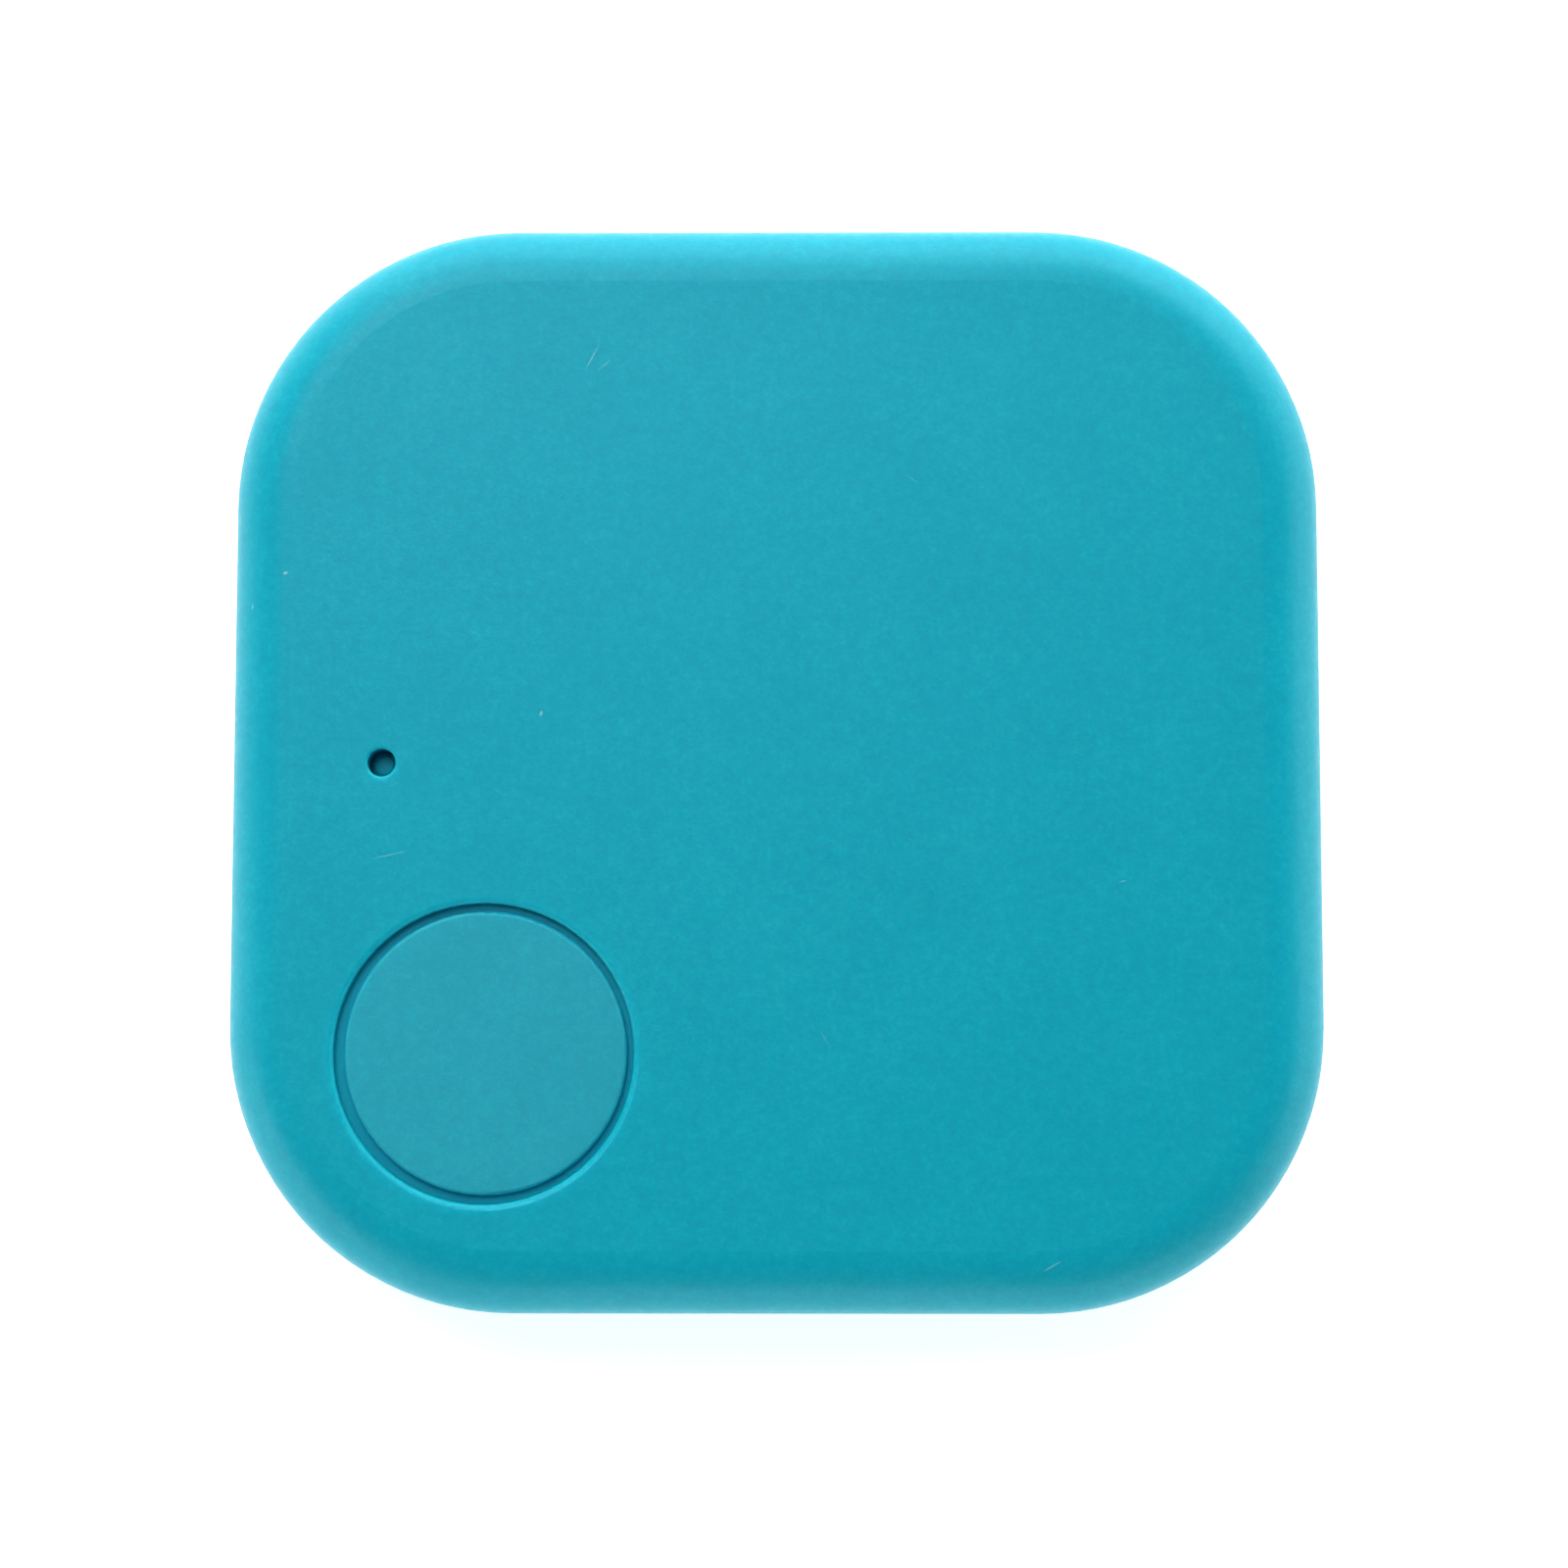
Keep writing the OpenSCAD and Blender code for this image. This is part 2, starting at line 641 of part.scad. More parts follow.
module switch_dome() {
    ball_z = switch_well_z + dome_h - dome_ball_r;
    color(steel_colour) at_button() rotate_extrude() intersection() {
        translate([0, switch_well_z]) square([dome_base_r + cut, dome_h + cut]);
        difference() {
            translate([0, ball_z]) circle(dome_ball_r, $fn = 256);
            translate([0, ball_z]) circle(dome_ball_r - dome_t, $fn = 256);
        }
    }
}

module switch_plunger() {
    flange_h = frame_z0 - 0.02 - plunger_foot_z;
    color([0.20, 0.20, 0.22]) at_button() rotate_extrude() {
        rim_section(plunger_r, plunger_foot_z, plunger_top_z, 0.1, 0);
        translate([0, plunger_foot_z]) square([plunger_flange_r, flange_h]);
    }
}

module switch_frame() {
    skirt_h = 0.5;
    skirt_w = 2.4;
    color(steel_colour) at_button() {
        difference() {
            block([switch_w, switch_w + 2 * switch_frame_t, switch_frame_t], [0, 0], frame_z0);
            translate([0, 0, frame_z0 - cut]) cylinder(r = plunger_r + plunger_gap, h = 2 * cut);
        }
        for (s = [-1, 1]) block([skirt_w, switch_frame_t, skirt_h + switch_frame_t],
            [0, s * (switch_w + switch_frame_t) / 2], frame_z0 - skirt_h);
    }
}

// A strip of sheet metal that follows points of distance and height, seen from its edge
module leaf(path, width) {
    top = [for (p = path) [p.x, p.y + leaf_t]];
    foot = [for (i = [len(path) - 1:-1:0]) path[i]];
    rotate([90, 0, 0]) linear_extrude(width, center = true) polygon(concat(top, foot));
}

module negative_contact() {
    touch_z = cell_z1 + leaf_touch_gap;
    path = [
        [bite_r + 3.1, board_z1], [bite_r + 0.5, board_z1], [bite_r - 0.4, leaf_clear_z],
        [cap_r - 2.4, leaf_clear_z], [cap_r - 4.6, touch_z], [cap_r - 5.8, leaf_clear_z]
    ];
    color(gold_colour) at_cell() rotate([0, 0, -90]) difference() {
        leaf(path, leaf_w);
        translate([0, -leaf_slot_w / 2, cell_z1 - cut]) cube([cap_r - 1, leaf_slot_w, 2 * cut]);
    }
}

module positive_contact() {
    bend_z = board_z1 + leaf_t;
    touch_r = cell_r + side_touch_gap;
    touch_z = (side_leaf_z + board_z1) / 2;
    foot_r = bite_r + 2.5;
    gap_mid_r = (cell_r + bite_r) / 2;
    profile = [
        [foot_r, board_z1], [foot_r, bend_z], [gap_mid_r, bend_z], [touch_r, touch_z],
        [touch_r + 0.3, side_leaf_z], [touch_r + 0.45, side_leaf_z], [touch_r + leaf_t, touch_z],
        [gap_mid_r + leaf_t, board_z1]
    ];
    color(gold_colour) at_cell() rotate([0, 0, side_leaf_angle]) rotate([90, 0, 0])
        linear_extrude(side_leaf_w, center = true) polygon(profile);
}

module cell_can() {
    color(steel_colour) at_cell() rotate_extrude() difference() {
        rim_section(cell_r, cell_z0, can_top_z, 0.2, can_foot_r);
        translate([0, cathode_z]) square([cell_r - cell_metal_t, can_top_z - cell_metal_t - cathode_z]);
        translate([0, cathode_z]) square([cap_r + gasket_w, can_top_z + cut - cathode_z]);
    }
}

module cell_cap() {
    color(steel_colour) at_cell() rotate_extrude() difference() {
        rim_section(cap_r, anode_z, cell_z1, cap_edge_round, 0);
        translate([0, anode_z - cut])
            square([cap_r - cell_metal_t, cell_z1 - cell_metal_t - anode_z + cut]);
    }
}

module cell_gasket() {
    lip_h = 0.05;
    color([0.15, 0.30, 0.60]) at_cell() {
        ring(cap_r + gasket_w, cap_r, anode_z, can_top_z + lip_h);
        ring(cell_r - cell_metal_t, cap_r, anode_z, can_top_z - cell_metal_t);
    }
}

module cell_cathode() {
    color([0.15, 0.15, 0.16]) at_cell() translate([0, 0, cathode_z])
        cylinder(r = cell_r - cell_metal_t - cathode_gap, h = cathode_h);
}

module cell_separator() {
    color("white") at_cell() translate([0, 0, separator_z]) cylinder(r = cap_r, h = separator_t);
}

module cell_anode() {
    color([0.60, 0.60, 0.62]) at_cell() translate([0, 0, anode_z])
        cylinder(r = cap_r - 2 * cell_metal_t, h = cell_z1 - cell_metal_t - anode_z);
}

module cell_pad() {
    color([0.12, 0.12, 0.12]) at_cell() translate([0, 0, floor_t]) cylinder(r = pad_r, h = pad_t);
}

module buzzer_adhesive() {
    color([0.90, 0.88, 0.75]) at_cell() ring(disc_r, disc_r - seat_w / 2, disc_z1, seat_z);
}

module buzzer_disc() {
    color([0.80, 0.62, 0.28]) at_cell() translate([0, 0, disc_z0]) cylinder(r = disc_r, h = disc_t);
}

module buzzer_ceramic() {
    color([0.88, 0.86, 0.78]) at_cell() translate([0, 0, ceramic_z0]) cylinder(r = ceramic_r, h = ceramic_t);
}

module buzzer_electrode() {
    color([0.86, 0.86, 0.86]) at_cell() translate([0, 0, electrode_z0])
        cylinder(r = ceramic_r - electrode_margin, h = electrode_t);
}

function unit(v) = v / norm(v);
// Eases from 0 to 1 as t does
function ease(t) = t <= 0 ? 0 : t >= 1 ? 1 : t * t * (3 - 2 * t);
// A point of a wire that stays level over the cell, then comes down to the board
function wire_point(from, to, t) = let (
        p = from + (to - from) * t
    ) [p.x, p.y, to.z + (from.z - to.z) * ease((p.x - to.x) / (wire_drop_x - to.x))];
// Points of one ring round a route at p, square to the direction along
function ring_points(p, along, r) = let (
        side = unit(cross(along, [0, 0, 1])),
        up = cross(side, along)
    ) [for (k = [0:wire_sides - 1]) let (a = 360 * k / wire_sides) p + r * (cos(a) * side + sin(a) * up)];

// A round wire from a joint on the sounder to one on the board
module wire(from, to) {
    route = [for (i = [0:wire_steps]) wire_point(from, to, i / wire_steps)];
    last = wire_steps;
    rings = [for (i = [0:last])
        ring_points(route[i], unit(route[min(i + 1, last)] - route[max(i - 1, 0)]), wire_d / 2)];
    sides = [for (i = [0:last - 1], k = [0:wire_sides - 1]) let (n = (k + 1) % wire_sides)
        [i * wire_sides + k, i * wire_sides + n, (i + 1) * wire_sides + n, (i + 1) * wire_sides + k]];
    start = [for (k = [wire_sides - 1:-1:0]) k];
    end = [for (k = [0:wire_sides - 1]) last * wire_sides + k];
    polyhedron(points = [for (r = rings, p = r) p], faces = concat([start], sides, [end]));
}

module buzzer_wire_red() {
    color([0.75, 0.08, 0.06]) wire(red_from, red_to);
}

module buzzer_wire_black() {
    color([0.06, 0.06, 0.06]) wire(black_from, black_to);
}

// One blob where each wire meets the board, the silvered face or the brass disc
module solder_joints() {
    color([0.80, 0.80, 0.82]) {
        for (p = [red_to, black_to]) translate([p.x, p.y, board_z1])
            cylinder(r1 = solder_r, r2 = solder_r * 0.5, h = solder_h);
        translate([red_from.x, red_from.y, wire_z]) cylinder(r1 = solder_r * 0.5, r2 = solder_r,
            h = electrode_z0 - wire_z);
        translate([black_from.x, black_from.y, wire_z]) cylinder(r1 = solder_r * 0.5, r2 = solder_r,
            h = disc_z0 - wire_z);
    }
}

front_shell();
back_cover();
button_cap();
light_pipe();
circuit_board();
pcb_screws();
radio_chip();
crystal_can();
chip_antenna();
chip_capacitors();
chip_resistors();
bulk_capacitor();
power_inductor();
driver_transistor();
driver_diode();
test_pads();
led_base();
led_lens();
switch_base();
switch_terminals();
switch_dome();
switch_plunger();
switch_frame();
negative_contact();
positive_contact();
cell_can();
cell_cap();
cell_gasket();
cell_cathode();
cell_separator();
cell_anode();
cell_pad();
buzzer_adhesive();
buzzer_disc();
buzzer_ceramic();
buzzer_electrode();
buzzer_wire_red();
buzzer_wire_black();
solder_joints();
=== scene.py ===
"""A square wireless tracker tag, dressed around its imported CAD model.

Everything is in metres, in the frame of the CAD model: the tag lies on its back at z = 0, face up.
"""
import bmesh
import bpy
import math
from mathutils import Matrix, Vector, noise


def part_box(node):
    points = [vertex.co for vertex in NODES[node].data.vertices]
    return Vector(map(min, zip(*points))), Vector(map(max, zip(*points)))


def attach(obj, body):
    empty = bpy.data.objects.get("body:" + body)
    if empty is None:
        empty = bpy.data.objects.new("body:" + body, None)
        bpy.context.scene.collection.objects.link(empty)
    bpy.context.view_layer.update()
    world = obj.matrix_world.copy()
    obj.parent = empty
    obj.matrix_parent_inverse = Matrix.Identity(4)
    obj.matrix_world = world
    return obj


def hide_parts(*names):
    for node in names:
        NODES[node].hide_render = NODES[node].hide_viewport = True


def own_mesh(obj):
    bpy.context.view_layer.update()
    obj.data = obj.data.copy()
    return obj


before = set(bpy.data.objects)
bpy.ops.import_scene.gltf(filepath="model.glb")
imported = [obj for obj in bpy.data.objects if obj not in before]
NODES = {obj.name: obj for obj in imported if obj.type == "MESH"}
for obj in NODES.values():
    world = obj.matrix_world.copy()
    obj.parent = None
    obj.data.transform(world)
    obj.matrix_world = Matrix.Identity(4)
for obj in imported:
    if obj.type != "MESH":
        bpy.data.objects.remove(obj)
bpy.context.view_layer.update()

MM = 0.001
TOP_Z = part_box("front_shell")[1].z
BOARD_LO, BOARD_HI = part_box("circuit_board")
CAN_LO, CAN_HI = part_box("cell_can")
CELL = (CAN_LO + CAN_HI) / 2
CELL_R = (CAN_HI.x - CAN_LO.x) / 2
# Radial space between the cell and the edge of the board's cut-out
BITE_R = CELL_R + 1.2 * MM
# Sounder joints are above this height, and joints on the board below it
WIRE_SPLIT_Z = CAN_HI.z + 0.4 * MM
# The button and the port, with how far the painted gap shade round each reaches from its axis
CAP = sum(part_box("button_cap"), Vector()) / 2
PORT = sum(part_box("light_pipe"), Vector()) / 2
CAP_REACH = 5.5 * MM
PORT_REACH = 0.7 * MM


# ---------------------------------------------------------------- camera, light and floor

# The camera's distance from the middle of the tag, its two turns off the vertical, lens in mm and shift
CAMERA_DISTANCE = 130 * MM
CAMERA_TILT = math.radians(5.85)
CAMERA_LEAN = math.radians(0.51)
CAMERA_LENS = 84.3
CAMERA_SHIFT = (0.0046, -0.0089)


def add_camera():
    tilt = Matrix.Rotation(CAMERA_TILT, 3, "X")
    lean = Matrix.Rotation(CAMERA_LEAN, 3, "Y")
    turn = tilt @ lean
    data = bpy.data.cameras.new("camera")
    data.lens = CAMERA_LENS
    data.shift_x, data.shift_y = CAMERA_SHIFT
    data.clip_start = 5 * MM
    camera = bpy.data.objects.new("camera", data)
    middle = Vector((0, 0, TOP_Z / 2))
    camera.location = middle + turn @ Vector((0, 0, CAMERA_DISTANCE))
    camera.rotation_euler = turn.to_euler()
    bpy.context.scene.collection.objects.link(camera)
    bpy.context.scene.camera = camera


# Each softbox: name, place, width and height, power in watts
SOFTBOXES = [
    ("back_softbox", (0.05, 0.32, 0.125), (0.60, 0.22), 1.98),
    ("left_softbox", (-0.08, 0.170, 0.305), (0.20, 0.20), 0.95),
    ("right_strip", (0.30, 0.00, 0.05), (0.40, 0.08), 0.38),
    ("front_strip", (0.03, -0.30, 0.05), (0.40, 0.08), 0.36),
    ("side_strip", (-0.26, -0.16, 0.07), (0.30, 0.08), 0.45),
]


def add_softbox(name, place, size, power):
    """A lamp aimed at the middle of the tag's face."""
    data = bpy.data.lights.new(name, "AREA")
    data.shape = "RECTANGLE"
    data.size, data.size_y = size
    data.energy = power
    light = bpy.data.objects.new(name, data)
    light.location = place
    light.rotation_euler = (Vector((0, 0, TOP_Z)) - Vector(place)).to_track_quat("-Z", "Y").to_euler()
    bpy.context.scene.collection.objects.link(light)


# Brightness of the surroundings at the horizon and straight above
HORIZON_LIGHT = 0.80
ZENITH_LIGHT = 0.04


def add_surroundings():
    """A white room that darkens towards the ceiling, as round a photographer's table."""
    world = bpy.data.worlds.new("studio")
    bpy.context.scene.world = world
    world.use_nodes = True
    tree = world.node_tree
    way = tree.nodes.new("ShaderNodeTexCoord")
    split = tree.nodes.new("ShaderNodeSeparateXYZ")
    light = tree.nodes.new("ShaderNodeMapRange")
    light.inputs["To Min"].default_value = HORIZON_LIGHT
    light.inputs["To Max"].default_value = ZENITH_LIGHT
    tree.links.new(way.outputs["Generated"], split.inputs[0])
    tree.links.new(split.outputs["Z"], light.inputs["Value"])
    background = tree.nodes["Background"]
    background.inputs["Color"].default_value = (1, 1, 1, 1)
    tree.links.new(light.outputs[0], background.inputs["Strength"])


def add_studio():
    bpy.context.scene.view_settings.view_transform = "Standard"
    add_surroundings()
    for softbox in SOFTBOXES:
        add_softbox(*softbox)


# The floor is a light table: this much of its white is its own
FLOOR_GLOW = 0.60
FLOOR_SIZE = 6
# It lies this far below the tag, so that the two faces don't flicker
FLOOR_GAP = 0.02 * MM


def add_floor():
    bpy.ops.mesh.primitive_plane_add(size=FLOOR_SIZE, location=(0, 0, -FLOOR_GAP))
    floor = bpy.context.object
    floor.name = "floor"
    finish = Finish("floor", Base_Color=(0.86, 0.86, 0.86, 1), Roughness=0.9, Specular_IOR_Level=0.1,
                    Emission_Color=(1, 1, 1, 1), Emission_Strength=FLOOR_GLOW)
    floor.data.materials.append(finish.material)


# ---------------------------------------------------------------- materials

# Sockets of the Mix node when it mixes colours
MIX_FACTOR, MIX_A, MIX_B, MIX_RESULT = 0, 6, 7, 2


class Finish:
    """A material with one Principled shader, and the nodes that feed it."""

    def __init__(self, name, **sockets):
        self.material = bpy.data.materials.new(name)
        self.material.use_nodes = True
        self.tree = self.material.node_tree
        self.shader = self.tree.nodes["Principled BSDF"]
        for key, value in sockets.items():
            self.shader.inputs[key.replace("_", " ")].default_value = value
        place = self.tree.nodes.new("ShaderNodeTexCoord")
        self.place = place.outputs["Object"]
        self.normal = None

    def node(self, kind, settings=None, **inputs):
        """A new node, with its settings, and its inputs set or linked by name."""
        made = self.tree.nodes.new("ShaderNode" + kind)
        for key, value in (settings or {}).items():
            setattr(made, key, value)
        for key, value in inputs.items():
            self.feed(value, made.inputs[key.replace("_", " ")])
        return made

    def feed(self, value, socket):
        if isinstance(value, bpy.types.NodeSocket):
            self.tree.links.new(value, socket)
        else:
            socket.default_value = value

    def math(self, operation, a, b=0.0):
        made = self.tree.nodes.new("ShaderNodeMath")
        made.operation = operation
        self.feed(a, made.inputs[0])
        self.feed(b, made.inputs[1])
        return made.outputs[0]

    def vector(self, operation, a, b=(0, 0, 0)):
        made = self.node("VectorMath", {"operation": operation})
        self.feed(a, made.inputs[0])
        self.feed(b, made.inputs[1])
        return made.outputs

    def from_axis(self, centre):
        """The distance from the vertical line through centre."""
        beside = self.vector("SUBTRACT", self.place, (centre.x, centre.y, 0))[0]
        return self.vector("LENGTH", self.vector("MULTIPLY", beside, (1, 1, 0))[0])["Value"]

    def height(self):
        return self.node("SeparateXYZ", Vector=self.place).outputs["Z"]

    def blend(self, *layers):
        """The sum of (value, share) pairs."""
        total = None
        for value, share in layers:
            part = self.math("MULTIPLY", value, share)
            total = part if total is None else self.math("ADD", total, part)
        return total

    def noise(self, size, detail=3.0, roughness=0.55, stretch=None):
        """Noise whose features are about size metres across."""
        at = self.place
        if stretch:
            at = self.node("Mapping", Vector=at, Scale=stretch).outputs[0]
        made = self.node("TexNoise", Vector=at, Scale=1 / size, Detail=detail, Roughness=roughness)
        return made.outputs["Fac"]

    def ramp(self, value, *stops):
        """stops are (position, grey or colour)."""
        made = self.tree.nodes.new("ShaderNodeValToRGB")
        points = made.color_ramp.elements
        while len(points) < len(stops):
            points.new(0.5)
        for point, (position, colour) in zip(points, stops):
            point.position = position
            if not hasattr(colour, "__len__"):
                colour = (colour, colour, colour)
            point.color = (*colour[:3], 1)
        self.feed(value, made.inputs[0])
        return made.outputs["Color"]

    def mix(self, factor, a, b):
        made = self.tree.nodes.new("ShaderNodeMix")
        made.data_type = "RGBA"
        self.feed(factor, made.inputs[MIX_FACTOR])
        for value, socket in ((a, made.inputs[MIX_A]), (b, made.inputs[MIX_B])):
            self.feed((*value, 1) if isinstance(value, tuple) else value, socket)
        return made.outputs[MIX_RESULT]

    def bump(self, height, depth, strength=1.0):
        """Adds height, from 0 to 1, as relief depth metres deep."""
        made = self.node("Bump", Height=height, Distance=depth, Strength=strength)
        if self.normal is not None:
            self.tree.links.new(self.normal, made.inputs["Normal"])
        self.normal = made.outputs[0]
        self.tree.links.new(self.normal, self.shader.inputs["Normal"])

    def colour(self, value):
        self.feed((*value, 1) if isinstance(value, tuple) else value, self.shader.inputs["Base Color"])

    def rough(self, value):
        self.feed(value, self.shader.inputs["Roughness"])


def shade(colour, factor):
    """The colour, lighter or darker by factor."""
    return tuple(min(1.0, c * factor) for c in colour[:3])


# Small marks on the front face: middle in mm from the middle of the tag, length, width, angle, how strong
FACE_MARKS = [
    (-6.4, 14.1, 1.10, 0.045, 62, 0.50), (-6.0, 13.8, 0.70, 0.035, 40, 0.35),
    (-17.0, 6.5, 0.20, 0.110, 20, 0.55), (-8.1, 1.6, 0.22, 0.120, 75, 0.45),
    (-18.2, 5.4, 0.30, 0.080, 85, 0.40), (-13.3, -3.3, 1.60, 0.040, 12, 0.25),
    (9.4, -17.3, 0.80, 0.070, 30, 0.30), (4.7, 9.8, 0.55, 0.035, -35, 0.20),
    (11.9, -4.2, 0.35, 0.060, 15, 0.22), (1.7, -9.6, 0.90, 0.030, -58, 0.18),
]
# They reach this far above and below the face
MARK_REACH = 1.2 * MM


def face_marks(finish):
    """A mask of the small scuffs and specks on the front face, from 0 to 1."""
    total = None
    for x, y, length, width, angle, strength in FACE_MARKS:
        near = finish.node("Mapping", {"vector_type": "TEXTURE"}, Vector=finish.place,
                           Location=(x * MM, y * MM, TOP_Z), Rotation=(0, 0, math.radians(angle)),
                           Scale=(length / 2 * MM, width / 2 * MM, MARK_REACH)).outputs[0]
        reach = finish.vector("LENGTH", near)["Value"]
        inside = finish.node("MapRange", Value=reach, From_Min=0.5, From_Max=1.0,
                             To_Min=strength, To_Max=0.0).outputs[0]
        total = inside if total is None else finish.math("MAXIMUM", total, inside)
    broken = finish.ramp(finish.noise(0.12 * MM, 2), (0.35, 0.3), (0.6, 1.0))
    return finish.math("MULTIPLY", total, broken)


TURQUOISE = (0.0010, 0.274, 0.358)
TURQUOISE_LIGHT = (0.005, 0.317, 0.393)
TURQUOISE_DEEP = (0.0008, 0.240, 0.328)
# Painted shade: a deeper, more saturated turquoise on the walls of the gaps round the button and the port,
# standing in for the coloured light that bounces inside them
TURQUOISE_GAP_SHADE = (0.0002, 0.32, 0.46)
SKIN_GREASE = (0.16, 0.30, 0.34)
SCUFFED = (0.35, 0.58, 0.62)
# Depths below the face between which the grease left by fingers fades out
GREASE_TOP, GREASE_FOOT = 0.2 * MM, 0.35 * MM
# Depths below the face between which the painted gap shade fades in on the walls round the button and the
# port
GAP_SHADE_TOP, GAP_SHADE_FOOT = 0.18 * MM, 0.23 * MM


def painted_gap_shade(finish):
    """Painted shade: 1 on the walls of the gaps round the button and the port, below a little depth, and 0
    on the faces.
    """
    deep = finish.node("MapRange", Value=finish.height(), From_Min=TOP_Z - GAP_SHADE_FOOT,
                       From_Max=TOP_Z - GAP_SHADE_TOP, To_Min=1.0, To_Max=0.0).outputs[0]
    near = [finish.math("LESS_THAN", finish.from_axis(centre), reach)
            for centre, reach in ((CAP, CAP_REACH), (PORT, PORT_REACH))]
    return finish.math("MULTIPLY", deep, finish.math("MAXIMUM", *near))


def case_plastic(name, grease=0.0, marks=False, paint_gap_shade=False):
    """Spark-eroded turquoise plastic: cloudy patches, fine mottling and a tight matte grain."""
    finish = Finish(name, Specular_IOR_Level=0.12, Subsurface_Weight=0.7,
                    Subsurface_Radius=(0.1, 1.0, 1.1), Subsurface_Scale=1.3 * MM)
    mottling = finish.blend((finish.noise(4 * MM, 2), 0.15), (finish.noise(0.42 * MM, 3, 0.75), 0.45),
                            (finish.noise(0.16 * MM, 2, 0.7), 0.40))
    colour = finish.ramp(mottling, (0.30, TURQUOISE_DEEP), (0.5, TURQUOISE), (0.70, TURQUOISE_LIGHT))
    if grease:
        touched = finish.node("MapRange", Value=finish.height(), From_Min=TOP_Z - GREASE_FOOT,
                              From_Max=TOP_Z - GREASE_TOP, To_Min=0.0, To_Max=grease).outputs[0]
        colour = finish.mix(touched, colour, SKIN_GREASE)
    if marks:
        worn = face_marks(finish)
        colour = finish.mix(worn, colour, SCUFFED)
    # Painted shade on the walls of the gaps round the button and the port
    if paint_gap_shade:
        colour = finish.mix(painted_gap_shade(finish), colour, TURQUOISE_GAP_SHADE)
    finish.colour(colour)
    finish.rough(finish.ramp(finish.noise(0.35 * MM, 3), (0.3, 0.33), (0.7, 0.45)))
    grain = finish.blend((finish.noise(0.11 * MM, 2, 0.6), 0.6), (finish.noise(0.045 * MM, 1), 0.4))
    finish.bump(grain, 0.011 * MM, 0.8)
    finish.bump(finish.noise(2.6 * MM, 1), 0.02 * MM, 0.35)
    if marks:
        finish.bump(finish.math("MULTIPLY", worn, -1.0), 0.012 * MM, 0.6)
    return finish.material


def moulded(name, colour, roughness=0.5, grain=0.12 * MM, depth=0.008 * MM):
    """Moulded plastic or epoxy, with a faint flow pattern and a fine grain."""
    contrast = 0.18
    finish = Finish(name)
    flow = finish.noise(8 * grain, 3, 0.6)
    finish.colour(finish.ramp(flow, (0.3, shade(colour, 1 - contrast)), (0.7, shade(colour, 1 + contrast))))
    finish.rough(finish.ramp(finish.noise(3 * grain, 2), (0.3, roughness - 0.06), (0.7, roughness + 0.08)))
    finish.bump(finish.noise(grain, 2, 0.65), depth, 0.7)
    return finish.material


def fired(name, colour, roughness=0.35):
    """A fired ceramic: pale specks in a slightly uneven glaze."""
    finish = Finish(name)
    grain = 0.06 * MM
    specks = finish.noise(grain, 4, 0.8)
    dark, pale = shade(colour, 0.78), shade(colour, 1.18)
    finish.colour(finish.ramp(specks, (0.32, dark), (0.55, colour), (0.75, pale)))
    finish.rough(finish.ramp(finish.noise(4 * grain, 2), (0.3, roughness - 0.08), (0.7, roughness + 0.1)))
    finish.bump(finish.noise(2 * grain, 3), 0.006 * MM, 0.6)
    return finish.material


def rolled_metal(name, colour, roughness, across=(1, 0.04, 0.04), tarnish=None):
    """Sheet metal with drawn lines, packed closest along across, and faint stains."""
    finish = Finish(name, Metallic=1.0)
    lines = finish.noise(0.05 * MM, 3, 0.7, stretch=across)
    stain = finish.noise(1.3 * MM, 4, 0.65)
    tone = finish.ramp(stain, (0.35, tarnish or shade(colour, 0.82)), (0.62, colour))
    finish.colour(finish.mix(finish.ramp(lines, (0.4, 0.0), (0.65, 0.35)), tone, shade(colour, 0.88)))
    finish.rough(finish.ramp(lines, (0.3, roughness - 0.07), (0.7, roughness + 0.14)))
    finish.bump(lines, 0.003 * MM, 0.5)
    return finish.material


def turned_metal(name, colour, centre, pitch=0.06 * MM):
    """Metal spun about a vertical axis through centre: fine rings, soft stains and a few handling marks."""
    finish = Finish(name, Metallic=1.0)
    along = finish.node("CombineXYZ", X=finish.from_axis(centre)).outputs[0]
    rings = finish.node("TexNoise", Vector=along, Scale=1 / pitch, Detail=3.0).outputs["Fac"]
    stain = finish.noise(2.4 * MM, 4, 0.6)
    tone = finish.ramp(stain, (0.35, shade(colour, 0.84)), (0.65, colour))
    finish.colour(finish.mix(finish.ramp(rings, (0.42, 0.0), (0.62, 0.3)), tone, shade(colour, 0.86)))
    scuffs = finish.ramp(finish.noise(0.3 * MM, 4, 0.7, stretch=(1, 0.12, 1)), (0.60, 0.0), (0.70, 1.0))
    finish.rough(finish.blend((rings, 0.22), (scuffs, 0.12)))
    finish.bump(rings, 0.004 * MM, 0.5)
    return finish.material


def clear_plastic(name, tint, roughness, clear=0.9, **sockets):
    """Clear or smoky resin with a faint haze."""
    finish = Finish(name, Transmission_Weight=clear, IOR=1.49, **sockets)
    haze = finish.noise(0.5 * MM, 3)
    finish.colour(finish.ramp(haze, (0.3, shade(tint, 0.93)), (0.7, tint)))
    finish.rough(finish.ramp(haze, (0.3, roughness), (0.7, roughness + 0.1)))
    finish.bump(haze, 0.004 * MM, 0.4)
    return finish.material


# Scale of the wave texture for the board's glass cloth, which gives it a repeat of 2.8 mm
WEAVE_SCALE = 111.1


